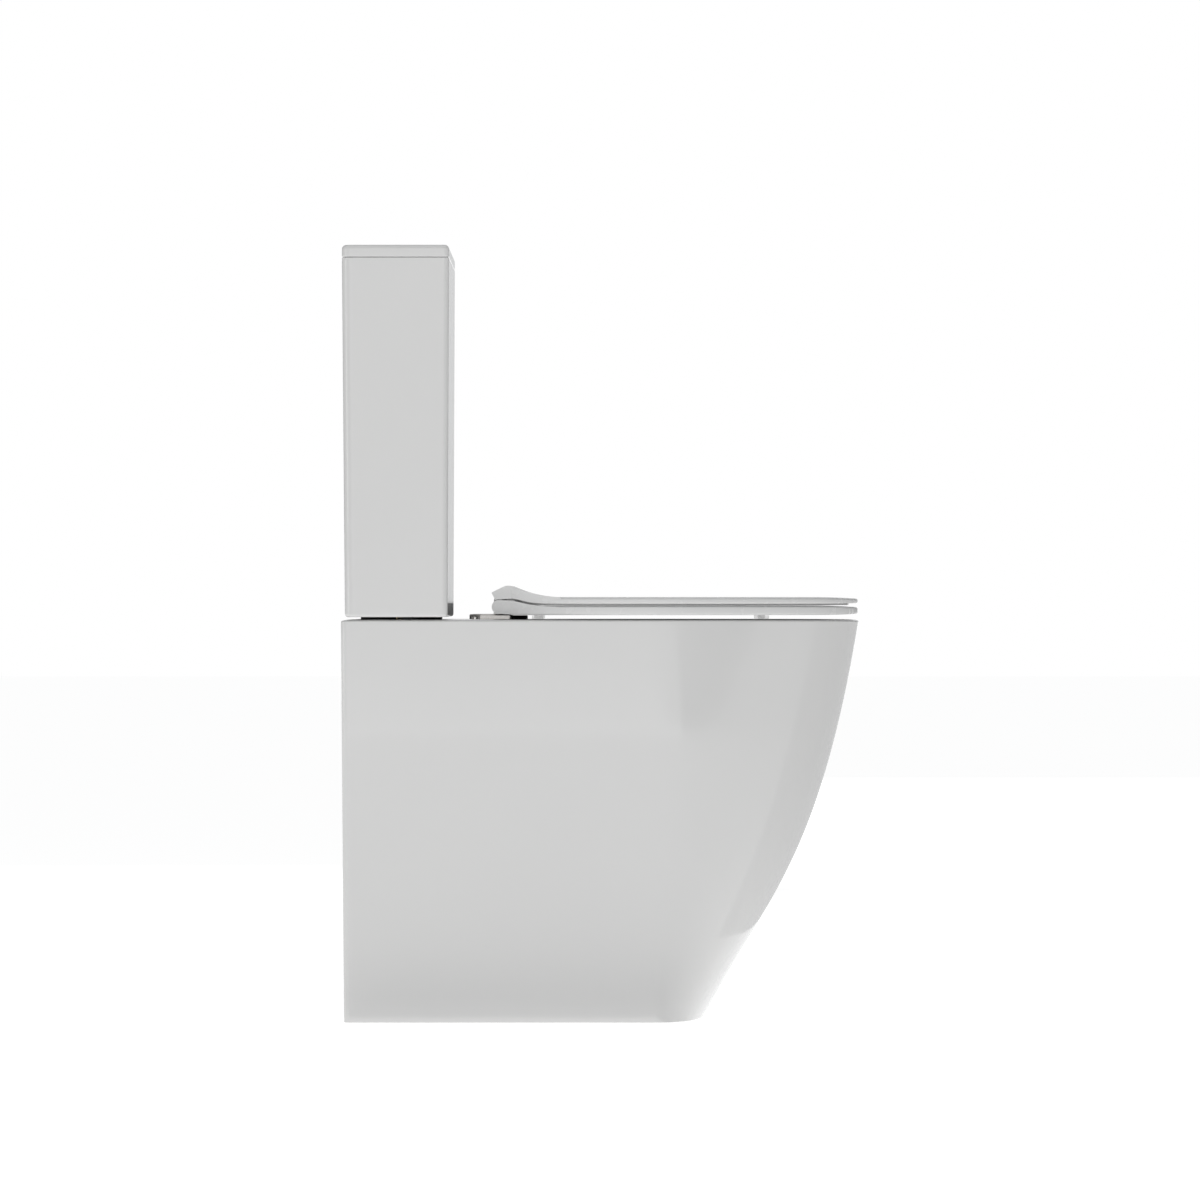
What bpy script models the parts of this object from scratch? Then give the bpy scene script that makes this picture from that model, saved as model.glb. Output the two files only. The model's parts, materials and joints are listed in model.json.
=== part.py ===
"""Close coupled toilet, fully shrouded, with a rimless pan, a dual flush cistern and a slim seat.

Metres, +Z up, front towards -Y, wall at +Y. The origin is on the floor under the middle of the
overall box. Left is -X and right is +X, seen by somebody who stands in front of the toilet.
"""
from math import cos, pi, sin, tau

import bmesh
import bpy
from mathutils import Vector

# ---------------------------------------------------------------- driving dimensions
GAP = 0.0003                 # clearance between pieces that touch

DEPTH = 0.564                # front tip of the rim to the wall
FRONT = -DEPTH / 2
REAR = DEPTH / 2

# pan
RIM_Z = 0.436
PAN_HALF_TOP = 0.180
PAN_HALF_FOOT = 0.165
PAN_WALL = 0.012
WALL_Y = 0.269               # front face of the rear wall
REAR_DRAFT = 0.0027          # how far the rear face leans in at the floor
FOOT_FRONT = -0.1119         # front tip of the foot
NOSE_UPPER = (-0.2346, 0.1594)   # control points (y, z) of the front profile
NOSE_LOWER = (-0.1821, 0.1373)
NOSE_TOP_Z = 0.4330
PLAN_NOSE_TOP = 0.237        # length of the half ellipse in plan, at the rim and at the foot
PLAN_NOSE_FOOT = 0.052
DECK = 0.016                 # china thickness of the deck and the rim
CAVITY_TOP = RIM_Z - DECK

BOWL_FRONT = -0.250
BOWL_REAR = 0.058
BOWL_HALF = 0.142
BOWL_WALL = 0.010
SUMP_Z = 0.125
TRAP_RADIUS = 0.028
OUTLET_Z = 0.185
OUTLET_BORE = 0.0425
OUTLET_END = 0.278
RECESS_RADIUS = 0.046        # round recess in the deck that takes the coupling gasket
RECESS_FLOOR = 0.413
DUCT_Z = 0.370               # middle line of the duct from the recess to the bowl
DUCT_BORE = 0.028
DUCT_WALL = 0.008
SERVICE_HALF = 0.100         # opening in the rear wall for the soil pipe and the water supply
SERVICE_TOP = 0.360

# cistern
CISTERN_WIDTH = 0.365
CISTERN_REAR = REAR - 0.001
CISTERN_FRONT = 0.1653
CISTERN_Z = RIM_Z + 0.0025
TAPER_REAR, TAPER_FRONT, TAPER_SIDE = 0.0032, 0.0015, 0.0011   # how far the foot draws in
TANK_WALL = 0.009
TANK_FLOOR = 0.012
TANK_TOP = 0.8265
TANK_CORNER_REAR = 0.010
TANK_CORNER_FRONT = 0.006
LID_Z = TANK_TOP + 0.0004
TOP_Z = 0.840
LID_SHELL = 0.0085

# fittings in a row across the cistern
VALVE_Y = 0.22075
BOLT_X = 0.082               # tank bolts
FILL_X = 0.125               # fill valve
FLOOR_IN = CISTERN_Z + TANK_FLOOR     # inside floor of the tank
AXLE_RADIUS, AXLE_BORE = 0.0014, 0.0018
ROCKER_X, ROCKER_Z = 0.0300, 0.7200   # the rockers' axles
ROCKER_PAD = 0.0460          # outer end of a rocker, where the button pushes
LEVER_X, LEVER_Z = 0.1060, 0.7720     # the float lever's axle
FLOAT_Z0, FLOAT_Z1 = 0.6280, 0.6900

# push button
BUTTON_RADIUS = 0.0197
BUTTON_SPLIT = -0.0045       # x of the gap between the half and the full flush button
BUTTON_TOP = 0.8416
SLEEVE_FLOOR = 0.8080
CRANK_Z0, CRANK_Z1 = 0.7370, 0.7410

# seat
SEAT_FRONT = -0.2807
SEAT_HALF = 0.1795
SEAT_STRAIGHT_Y = -0.045
RING_Z0, RING_Z1 = 0.4407, 0.4509
SHUT_Z0, SHUT_Z1 = 0.4528, 0.4602
SEAT_REAR_HALF = 0.158
HINGE_Y, HINGE_Z = 0.112, 0.4495
KNUCKLE_RADIUS = 0.0076
PIN_RADIUS = 0.0040
HINGE_X = 0.0775
BARREL_X = 0.0970            # inner end of each of the ring's barrels
HINGE_BOLT_Y = 0.126
COVER_HALF, COVER_TOP = 0.0185, 0.4416

SIDES = (("left", -1), ("right", 1))


# ---------------------------------------------------------------- materials
def material(name, colour, roughness, metallic=0.0):
    mat = bpy.data.materials.new(name)
    mat.use_nodes = True
    shader = mat.node_tree.nodes["Principled BSDF"]
    shader.inputs["Base Color"].default_value = (*colour, 1.0)
    shader.inputs["Roughness"].default_value = roughness
    shader.inputs["Metallic"].default_value = metallic
    mat.diffuse_color = (*colour, 1.0)
    return mat


def clear_scene():
    for obj in list(bpy.data.objects):
        bpy.data.objects.remove(obj, do_unlink=True)


# ---------------------------------------------------------------- mesh helpers
def finish(name, bm, mat, smooth=True):
    """Turn a bmesh into a named object with its own material."""
    bmesh.ops.recalc_face_normals(bm, faces=bm.faces)
    mesh = bpy.data.meshes.new(name)
    bm.to_mesh(mesh)
    bm.free()
    obj = bpy.data.objects.new(name, mesh)
    bpy.context.scene.collection.objects.link(obj)
    if mat:
        mesh.materials.append(mat)
    if smooth:
        mesh.shade_smooth()
        mesh.set_sharp_from_angle(angle=0.6)
    return obj


def loft(name, sections, mat=None, smooth=True):
    """A closed solid through sections, which are lists of the same number of (x, y, z) points."""
    bm = bmesh.new()
    rings = [[bm.verts.new(point) for point in section] for section in sections]
    count = len(sections[0])
    for low, high in zip(rings, rings[1:]):
        for i in range(count):
            j = (i + 1) % count
            bm.faces.new((low[i], low[j], high[j], high[i]))
    bm.faces.new(list(reversed(rings[0])))
    bm.faces.new(rings[-1])
    return finish(name, bm, mat, smooth)


def prism(name, outline, z0, z1, mat=None, smooth=True):
    """An outline of (x, y) points, extruded from z0 to z1."""
    return loft(name, [[(x, y, z) for x, y in outline] for z in (z0, z1)], mat, smooth)


def side_prism(name, outline, x0, x1, mat=None, smooth=True):
    """An outline of (y, z) points, extruded from x0 to x1."""
    return loft(name, [[(x, y, z) for y, z in outline] for x in (x0, x1)], mat, smooth)


def block(name, low, high, mat=None):
    corners = [(low[0], low[1]), (high[0], low[1]), (high[0], high[1]), (low[0], high[1])]
    return prism(name, corners, low[2], high[2], mat, smooth=False)


def turned(name, profile, at, mat=None, steps=24, axis="Z"):
    """A turned solid. The profile is a list of (radius, height) and closes on itself or the axis."""
    bm = bmesh.new()

    def place(radius, height, angle):
        across, along = radius * cos(angle), radius * sin(angle)
        local = {"Z": (across, along, height), "X": (height, across, along)}[axis]
        return Vector(at) + Vector(local)

    rings = []
    for radius, height in profile:
        if radius == 0:
            rings.append([bm.verts.new(place(0, height, 0))])
        else:
            rings.append([bm.verts.new(place(radius, height, tau * i / steps)) for i in range(steps)])
    pairs = list(zip(rings, rings[1:]))
    if len(rings[0]) > 1:
        pairs.append((rings[-1], rings[0]))
    for a, b in pairs:
        if len(a) == 1 and len(b) == 1:
            continue
        for i in range(steps):
            j = (i + 1) % steps
            if len(a) == 1:
                bm.faces.new((a[0], b[i], b[j]))
            elif len(b) == 1:
                bm.faces.new((a[i], b[0], a[j]))
            else:
                bm.faces.new((a[i], a[j], b[j], b[i]))
    return finish(name, bm, mat)


def rod(name, radius, z0, z1, at, mat=None, steps=16, axis="Z"):
    profile = [(0, z0), (radius, z0), (radius, z1), (0, z1)]
    return turned(name, profile, at, mat, steps, axis)


def tube(name, inner, outer, z0, z1, at, mat=None, steps=24):
    return turned(name, [(inner, z0), (outer, z0), (outer, z1), (inner, z1)], at, mat, steps)


def sweep(name, path, radii, mat=None, steps=16):
    """A round solid along a path of (y, z) points at x = 0, with a radius at each point."""
    sections = []
    for i, (y, z) in enumerate(path):
        ahead = path[min(i + 1, len(path) - 1)]
        behind = path[max(i - 1, 0)]
        tangent = Vector((0, ahead[0] - behind[0], ahead[1] - behind[1])).normalized()
        across = tangent.cross(Vector((1, 0, 0)))
        centre = Vector((0, y, z))
        sections.append([
            centre + radii[i] * (cos(t) * Vector((1, 0, 0)) + sin(t) * across)
            for t in (tau * k / steps for k in range(steps))
        ])
    return loft(name, sections, mat)


def combine(obj, other, operation):
    """Add a Boolean with a hidden cutter or a hidden added shape."""
    other.hide_render = True
    other.display_type = "WIRE"
    modifier = obj.modifiers.new(operation.title(), "BOOLEAN")
    modifier.operation = operation
    modifier.solver = "EXACT"
    modifier.object = other
    return obj


def cut(obj, *others):
    for other in others:
        combine(obj, other, "DIFFERENCE")
    return obj


def join(obj, *others):
    for other in others:
        combine(obj, other, "UNION")
    return obj


def pivot(obj, point):
    """Move the object's origin to a point on its joint's axis, keeping its shape in place."""
    point = Vector(point)
    for vertex in obj.data.vertices:
        vertex.co -= point
    obj.location = point
    return obj


# ---------------------------------------------------------------- outlines
def arc(cx, cy, radius, start, end, steps):
    return [(cx + radius * cos(start + (end - start) * i / steps),
             cy + radius * sin(start + (end - start) * i / steps)) for i in range(steps + 1)]


def bezier(p0, p1, p2, p3, t):
    s = 1 - t
    return tuple(s ** 3 * a + 3 * s * s * t * b + 3 * s * t * t * c + t ** 3 * d
                 for a, b, c, d in zip(p0, p1, p2, p3))


def d_outline(half, front, nose, rear, corner, steps=22):
    """Straight rear with round corners, straight sides, and a half ellipse of length nose in front."""
    shoulder = front + nose
    points = arc(half - corner, rear - corner, corner, 0, pi / 2, 2)
    points += arc(-half + corner, rear - corner, corner, pi / 2, pi, 2)
    points += [(half * cos(t), shoulder + nose * sin(t))
               for t in (pi + pi * i / steps for i in range(steps + 1))]
    return points


def box_outline(half, y0, y1, front_corner, rear_corner):
    """A rectangle with round corners, front at y0."""
    quarter = pi / 2
    points = arc(half - rear_corner, y1 - rear_corner, rear_corner, 0, quarter, 4)
    points += arc(-half + rear_corner, y1 - rear_corner, rear_corner, quarter, pi, 4)
    points += arc(-half + front_corner, y0 + front_corner, front_corner, pi, 3 * quarter, 4)
    points += arc(half - front_corner, y0 + front_corner, front_corner, 3 * quarter, tau, 4)
    return points


def at_height(outline, z):
    return [(x, y, z) for x, y in outline]


def shifted(outline, dx, dy=0.0):
    return [(x + dx, y + dy) for x, y in outline]


def span(a, b):
    """Two numbers in rising order."""
    return min(a, b), max(a, b)


# ---------------------------------------------------------------- pan
def pan_section(t, inset=0.0, z=None):
    """The pan's plan at fraction t up its front profile, 0 at the rim and 1 at the floor."""
    y, height = bezier((FRONT, NOSE_TOP_Z), NOSE_UPPER, NOSE_LOWER, (FOOT_FRONT, 0.0), t)
    up = height / NOSE_TOP_Z
    half = PAN_HALF_FOOT + (PAN_HALF_TOP - PAN_HALF_FOOT) * min(1.0, up * 1.4)
    nose = PLAN_NOSE_FOOT + (PLAN_NOSE_TOP - PLAN_NOSE_FOOT) * up ** 0.8
    rear = REAR - REAR_DRAFT * (1 - up)
    outline = d_outline(half - inset, y + inset, nose - inset, rear - inset, max(0.007 - inset, 0.002))
    return at_height(outline, height if z is None else z)


def pan_outer():
    steps = 10
    sections = [pan_section(1, 0.002, 0.0), pan_section(1, 0.0, 0.0015)]
    sections += [pan_section(1 - i / steps) for i in range(1, steps + 1)]
    sections += [pan_section(0, inset, NOSE_TOP_Z + (RIM_Z - NOSE_TOP_Z) * rise)
                 for inset, rise in ((0.0022, 0.42), (0.0065, 0.76), (0.014, 1.0))]
    return sections


def bowl_sections(grow):
    """The bowl from the sump up to the rim, grown outwards and downwards."""
    levels = (   # z, front, rear and half width
        (SUMP_Z, -0.0500, -0.022, 0.0130),
        (0.1320, -0.0660, -0.006, 0.0290),
        (0.1500, -0.0780, 0.008, 0.0380),
        (0.1850, -0.0920, 0.018, 0.0460),
        (0.2250, -0.1180, 0.026, 0.0590),
        (0.2600, -0.1520, 0.034, 0.0780),
        (0.3000, -0.1900, 0.042, 0.1030),
        (0.3450, -0.2220, 0.050, 0.1260),
        (0.3950, BOWL_FRONT + 0.008, BOWL_REAR - 0.002, BOWL_HALF - 0.004),
        (0.4330, BOWL_FRONT, BOWL_REAR, BOWL_HALF),
        (RIM_Z + grow + 0.004, BOWL_FRONT - 0.001, BOWL_REAR + 0.001, BOWL_HALF + 0.001),
    )
    sections = []
    for z, front, rear, half in levels:
        middle, length = (front + rear) / 2, (rear - front) / 2
        sections.append([((half + grow) * cos(t), middle + (length + grow) * sin(t), z - grow)
                         for t in (tau * i / 28 for i in range(28))])
    return sections


def trap_path():
    """Middle line of the trapway: dips out of the sump, rises over the weir, falls to the outlet."""
    up = [bezier((-0.040, 0.158), (0.040, 0.142), (0.066, 0.262), (0.118, 0.262), i / 6) for i in range(7)]
    down = [bezier((0.118, 0.262), (0.165, 0.262), (0.160, OUTLET_Z), (0.215, OUTLET_Z), i / 6)
            for i in range(1, 7)]
    return up + down


def trap_radius(i, count):
    return TRAP_RADIUS + (OUTLET_BORE - TRAP_RADIUS) * max(0.0, (i - 6) / (count - 7))


def duct_path(top, end):
    """Middle line of the duct: down from the recess, round a bend and forwards to the bowl."""
    bend = [(VALVE_Y - 0.035 + 0.035 * cos(t), DUCT_Z + 0.030 * (1 - sin(t)))
            for t in (pi / 2 * i / 5 for i in range(6))]
    return [(VALVE_Y, top)] + bend + [(end, DUCT_Z)]


def make_pan(china):
    """The shroud with its deck, its rear wall, and the bowl, inlet and trapway that hang inside it."""
    pan = loft("pan", pan_outer(), china)
    inner = [pan_section(1, PAN_WALL, -0.01)]
    inner += [pan_section(1 - i / 8, PAN_WALL) for i in range(1, 8)]
    inner += [pan_section(0, PAN_WALL, CAVITY_TOP)]
    inner = [[(x, y + 0.02 if y > VALVE_Y else y, z) for x, y, z in section] for section in inner]
    behind = block("behind", (-0.3, WALL_Y - GAP, -0.1), (0.3, 0.4, 0.6))
    cut(pan, loft("shroud_cavity", inner), behind)
    rear = loft("pan_rear_wall", pan_outer(), china)
    service = [(-SERVICE_HALF, -0.01), (SERVICE_HALF, -0.01)]
    service += arc(0, SERVICE_TOP - SERVICE_HALF, SERVICE_HALF, 0, pi, 16)
    cut(rear, block("in_front", (-0.3, -0.4, -0.1), (0.3, WALL_Y, 0.6)),
        loft("service_opening", [[(x, y, z) for x, z in service] for y in (0.30, 0.25)]))
    bowl_inside = loft("bowl_inside", bowl_sections(0.0))
    recess = rod("inlet_recess", RECESS_RADIUS, RECESS_FLOOR, 0.45, (0, VALVE_Y, 0), steps=24)
    cut(pan, bowl_inside, recess)
    for side, s in SIDES:
        cut(pan, rod("tank_bolt_hole_" + side, 0.0060, 0.39, 0.45, (s * BOLT_X, VALVE_Y, 0), steps=16))
        cut(pan, rod("seat_bolt_hole_" + side, 0.0065, 0.39, 0.45, (s * HINGE_X, HINGE_BOLT_Y, 0), steps=16))
    cut(pan, rod("supply_hole", 0.0200, 0.39, 0.45, (FILL_X, VALVE_Y, 0), steps=24))

    # room that the hanging pieces leave to the deck, to the rear wall and to each other
    under_deck = block("under_deck", (-0.2, -0.3, CAVITY_TOP - GAP), (0.2, 0.3, 0.46))
    beside_bowl = loft("beside_bowl", bowl_sections(BOWL_WALL + GAP))
    path = trap_path()
    radii = [trap_radius(i, len(path)) for i in range(len(path))] + [OUTLET_BORE]
    trap_bore = sweep("trap_bore", path + [(OUTLET_END + 0.03, OUTLET_Z)], radii)
    duct_bore = sweep("duct_bore", duct_path(RIM_Z + 0.01, 0.020), [DUCT_BORE] * 8)

    bowl = loft("pan_bowl", bowl_sections(BOWL_WALL), china)
    cut(bowl, under_deck, bowl_inside, trap_bore, duct_bore)
    inlet = rod("pan_inlet", RECESS_RADIUS + 0.009, 0.398, RIM_Z, (0, VALVE_Y, 0), china, steps=24)
    join(inlet, sweep("duct", duct_path(0.410, 0.045), [DUCT_BORE + DUCT_WALL] * 8))
    cut(inlet, under_deck, behind, beside_bowl, recess, duct_bore)
    trap = sweep("pan_trapway", path + [(OUTLET_END, OUTLET_Z)], [r + BOWL_WALL for r in radii], china)
    cut(trap, beside_bowl, block("below_sump", (-0.06, -0.10, 0.05), (0.06, 0.0, 0.25)), trap_bore)


# ---------------------------------------------------------------- cistern
def tank_section(inset, z, taper=0.0):
    """Plan of the cistern at a height, drawn in by that share of the full taper."""
    y0 = CISTERN_FRONT + taper * TAPER_FRONT + inset
    y1 = CISTERN_REAR - taper * TAPER_REAR - inset
    outline = box_outline(CISTERN_WIDTH / 2 - taper * TAPER_SIDE - inset, y0, y1,
                          max(TANK_CORNER_FRONT - inset, 0.002), max(TANK_CORNER_REAR - inset, 0.002))
    return at_height(outline, z)


def make_tank(china):
    outer = [tank_section(0.0030, CISTERN_Z, 1.0),
             tank_section(0.0009, CISTERN_Z + 0.0009, 1.0),
             tank_section(0.0, CISTERN_Z + 0.0030, 1.0),
             tank_section(0.0, TANK_TOP - 0.0012), tank_section(0.0006, TANK_TOP)]
    tank = loft("cistern_tank", outer, china)
    inside = [tank_section(TANK_WALL + 0.006, FLOOR_IN, 1.0),
              tank_section(TANK_WALL + 0.001, FLOOR_IN + 0.005, 1.0),
              tank_section(TANK_WALL, FLOOR_IN + 0.02, 1.0),
              tank_section(TANK_WALL, TANK_TOP + 0.01)]
    cut(tank, loft("tank_inside", inside))
    cut(tank, rod("valve_hole", 0.0300, 0.43, 0.46, (0, VALVE_Y, 0), steps=24))
    cut(tank, rod("fill_hole", 0.0112, 0.43, 0.46, (FILL_X, VALVE_Y, 0), steps=20))
    for side, s in SIDES:
        cut(tank, rod("bolt_hole_" + side, 0.0046, 0.43, 0.46, (s * BOLT_X, VALVE_Y, 0), steps=16))


def make_cistern_lid(china):
    lip = TANK_WALL + 0.0025
    outer = [tank_section(lip, LID_Z - 0.008), tank_section(lip, LID_Z), tank_section(0.0010, LID_Z),
             tank_section(0.0, LID_Z + 0.0012), tank_section(0.0, TOP_Z - 0.0040),
             tank_section(0.0012, TOP_Z - 0.0012), tank_section(0.0040, TOP_Z)]
    lid = loft("cistern_lid", outer, china)
    under = [tank_section(lip + 0.005, LID_Z - 0.012), tank_section(lip + 0.005, TOP_Z - LID_SHELL)]
    cut(lid, loft("lid_underside", under))
    cut(lid, rod("button_hole", 0.0235, 0.82, 0.85, (0, VALVE_Y, 0), steps=24))


# ---------------------------------------------------------------- seat
def seat_outline(inset, rear=None):
    """Plan of the seat, D shaped. Its sides draw in towards the hinges, and rear extends them."""
    nose = SEAT_STRAIGHT_Y - SEAT_FRONT
    right = [(SEAT_HALF - inset, SEAT_STRAIGHT_Y)]
    for i in range(1, 7):
        x, y = bezier((SEAT_HALF, SEAT_STRAIGHT_Y), (SEAT_HALF, 0.020), (0.1740, 0.060),
                      (SEAT_REAR_HALF, 0.100), i / 6)
        right.append((x - inset, min(y, 0.100 - inset)))
    if rear:
        right.append((SEAT_REAR_HALF - 0.006, rear))
    left = [(-x, y) for x, y in reversed(right)]
    front = [((SEAT_HALF - inset) * cos(t), SEAT_STRAIGHT_Y + (nose - inset) * sin(t))
             for t in (pi + pi * i / 30 for i in range(1, 30))]
    return right + left + front


def plate_sections(z0, z1, edge):
    """A seat plate with a soft edge above and below."""
    steps = ((edge, 0.0), (edge * 0.3, edge * 0.3), (0.0, edge))
    sections = [at_height(seat_outline(inset), z0 + rise) for inset, rise in steps]
    sections += [at_height(seat_outline(inset), z1 - rise) for inset, rise in reversed(steps)]
    return sections


def seat_side(name, profile, x0, x1):
    """A side profile across the seat, trimmed to the seat's plan."""
    piece = side_prism(name, profile, x0, x1)
    return combine(piece, prism(name + "_plan", seat_outline(GAP, 0.135), 0.42, 0.48), "INTERSECT")


def ring_rear_profile():
    """Side profile of the ring's rear: a wedge that rises into the hinge barrel."""
    barrel = arc(HINGE_Y, HINGE_Z, KNUCKLE_RADIUS, -pi / 2 - 0.2, pi / 2, 12)
    return [(0.055, RING_Z0 + 0.002), (0.096, RING_Z0 + 0.0004)] + barrel + [
        (0.0975, 0.4573), (0.0890, 0.4551), (0.0782, 0.4524), (0.0620, 0.4503), (0.055, 0.4495)]


def make_seat_ring(mat):
    ring = loft("seat_ring", plate_sections(RING_Z0, RING_Z1, 0.0018), mat)
    for side, s in SIDES:
        join(ring, seat_side("ring_barrel_" + side, ring_rear_profile(), s * BARREL_X, s * 0.2))
    opening = [(0.113 * cos(t), -0.090 + (0.127 if sin(t) < 0 else 0.122) * sin(t))
               for t in (tau * i / 40 for i in range(40))]
    cut(ring, prism("ring_opening", opening, 0.43, 0.47))
    # room for the lid's knuckles and the brackets between the barrels
    cut(ring, block("ring_rear_notch", (-BARREL_X, 0.0975, 0.43), (BARREL_X, 0.14, 0.47)))
    for side, s in SIDES:
        cut(ring, rod("ring_pin_hole_" + side, PIN_RADIUS + GAP, *span(s * 0.08, s * 0.1483),
                      (0, HINGE_Y, HINGE_Z), steps=16, axis="X"))
    pivot(ring, (0, HINGE_Y, HINGE_Z))


def lid_rear_profile():
    """Side profile of the lid's rear: a hood that hugs the barrels and ends in a thin tip."""
    top = [(0.0450, 0.4600), (0.0598, 0.4612), (0.0676, 0.4624), (0.0776, 0.4646), (0.0843, 0.4667),
           (0.0902, 0.4689), (0.0970, 0.4717), (0.1000, 0.4724), (0.1035, 0.4724), (0.1070, 0.4713),
           (0.1197, 0.4652), (0.1200, 0.4643)]
    saddle = arc(HINGE_Y, HINGE_Z, KNUCKLE_RADIUS + 0.0006, 1.10, 1.75, 5)
    under = [(0.1164, 0.4583)] + saddle + [(0.0970, 0.4586), (0.0890, 0.4569), (0.0782, 0.4543),
                                           (0.0620, 0.4530), (0.0450, 0.4530)]
    return list(reversed(top + under))


def lid_root_profile():
    """Side profile of the thickening between the lid and the ring's wedge."""
    return [(0.0350, 0.4545), (0.0350, 0.4516), (0.0680, 0.4517), (0.0760, 0.4528), (0.0782, 0.4532),
            (0.0890, 0.4559), (0.0950, 0.4575), (0.0950, 0.4600), (0.0890, 0.4590), (0.0782, 0.4560)]


def make_seat_lid(mat):
    lid = loft("seat_lid", plate_sections(SHUT_Z0, SHUT_Z1, 0.0016), mat)
    cut(lid, block("lid_trim", (-0.2, 0.0500, 0.44), (0.2, 0.13, 0.48)))
    join(lid, seat_side("lid_hood", lid_rear_profile(), -0.2, 0.2))
    # rib under the lid and a thicker root for the hood, which close the slit above the ring
    rib = prism("lid_rib", seat_outline(0.0100), RING_Z1 + 0.0005, SHUT_Z0 + 0.0015)
    cut(rib, prism("lid_rib_inside", seat_outline(0.0140), 0.44, 0.47))
    cut(rib, block("lid_rib_end", (-0.2, 0.0400, 0.44), (0.2, 0.13, 0.48)))
    root = side_prism("lid_root", lid_root_profile(), -0.2, 0.2)
    join(lid, rib, combine(root, prism("lid_root_plan", seat_outline(0.0107), 0.44, 0.47), "INTERSECT"))
    for side, s in SIDES:
        eye = arc(HINGE_Y, HINGE_Z, 0.0072, -pi * 0.75, 0.0, 8)
        web = eye + [(HINGE_Y + 0.0060, 0.4600), (0.1000, 0.4620)]
        join(lid, side_prism("lid_knuckle_" + side, web, s * 0.0300, s * 0.0655))
        cut(lid, rod("lid_pin_hole_" + side, PIN_RADIUS + GAP, *span(s * 0.028, s * 0.08),
                     (0, HINGE_Y, HINGE_Z), steps=16, axis="X"))
        x0, x1 = span(s * 0.053, s * 0.102)
        cut(lid, block("lid_tip_notch_" + side, (x0, 0.1170, 0.44), (x1, 0.13, 0.48)))
    pivot(lid, (0, HINGE_Y, HINGE_Z))


def make_buffers(mat):
    spots = (("ring_buffer_front", 0.112, -0.175, RIM_Z + GAP, RING_Z0 - GAP),
             ("ring_buffer_rear", 0.146, 0.070, RIM_Z + GAP, RING_Z0 - GAP),
             ("lid_buffer", 0.120, -0.150, RING_Z1 + GAP, SHUT_Z0 - GAP))
    for name, x, y, z0, z1 in spots:
        for side, s in SIDES:
            profile = [(0, z0), (0.0052, z0), (0.0062, z0 + 0.0006), (0.0062, z1), (0, z1)]
            turned(f"{name}_{side}", profile, (s * x, y, 0), mat, steps=20)


def hinge_outline(y0, y1, half, round_rear):
    """A strip with a round rear end."""
    corner = half * 0.8 if round_rear else 0.002
    return box_outline(half, y0, y1, 0.002, corner)


def make_hinges(chrome, black, steel, nylon):
    """Each side has a pad, a bracket with an eye, a cover, a pin, and a bolt with washer and nut."""
    plate_z = RIM_Z + GAP
    for side, s in SIDES:
        x = s * HINGE_X
        pad = prism("hinge_pad_" + side, shifted(hinge_outline(0.0827, 0.1420, 0.0164, True), x),
                    plate_z, plate_z + 0.0015, black)
        join(pad, prism("pad_front_" + side, shifted(hinge_outline(0.0827, 0.0990, COVER_HALF, False), x),
                        plate_z, 0.4400))
        cut(pad, rod("pad_hole_" + side, 0.0045, 0.43, 0.45, (x, HINGE_BOLT_Y, 0), steps=16))
        bracket = prism("hinge_bracket_" + side, shifted(hinge_outline(0.1010, 0.1415, 0.0160, True), x),
                        plate_z + 0.0018, plate_z + 0.0034, steel)
        eye = arc(HINGE_Y, HINGE_Z, 0.0070, -0.35, pi + 0.35, 12)
        web = [(HINGE_Y - 0.0060, plate_z + 0.0020), (HINGE_Y + 0.0060, plate_z + 0.0020)] + eye
        join(bracket, side_prism("bracket_web_" + side, web, x - 0.0107, x + 0.0107))
        cut(bracket, rod("bracket_eye_" + side, PIN_RADIUS + GAP, x - 0.02, x + 0.02,
                         (0, HINGE_Y, HINGE_Z), steps=16, axis="X"))
        cut(bracket, rod("bracket_hole_" + side, 0.0064, 0.43, 0.4405, (x, HINGE_BOLT_Y, 0), steps=16))
        cover = prism("hinge_cover_" + side, shifted(hinge_outline(0.0993, 0.1448, COVER_HALF, True), x),
                      plate_z, COVER_TOP, chrome)
        cut(cover, prism("cover_pocket_" + side,
                         shifted(hinge_outline(0.0900, 0.1427, COVER_HALF - 0.0017, True), x),
                         0.43, COVER_TOP - 0.0015))
        cut(cover, block("cover_slot_" + side, (x - 0.0112, HINGE_Y - 0.0066, 0.43),
                         (x + 0.0112, HINGE_Y + 0.0066, 0.45)))
        rod("hinge_pin_" + side, PIN_RADIUS, *span(s * 0.0305, s * 0.1478), (0, HINGE_Y, HINGE_Z), steel,
            steps=16, axis="X")
        head = plate_z + 0.0019
        turned("hinge_bolt_" + side,
               [(0, 0.3850), (0.0040, 0.3850), (0.0040, head), (0.0058, head), (0.0058, head + 0.0014),
                (0, head + 0.0014)], (x, HINGE_BOLT_Y, 0), steel, steps=16)
        tube("hinge_washer_" + side, 0.0044, 0.0115, CAVITY_TOP - 0.0033, CAVITY_TOP - GAP,
             (x, HINGE_BOLT_Y, 0), black, steps=24)
        wing_nut("hinge_nut_" + side, (x, HINGE_BOLT_Y), CAVITY_TOP - 0.0036, 0.0095, 0.0043, nylon)


def wing_nut(name, at, top, radius, bore, mat):
    """A hub with two wings, hanging from top."""
    x, y = at
    nut = tube(name, bore, radius, top - 0.0100, top, (x, y, 0), mat, steps=16)
    for side, s in SIDES:
        x0, x1 = span(x + s * (radius - 0.002), x + s * (radius + 0.009))
        join(nut, block(f"{name}_wing_{side}", (x0, y - 0.002, top - 0.0130), (x1, y + 0.002, top - 0.0020)))


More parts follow.
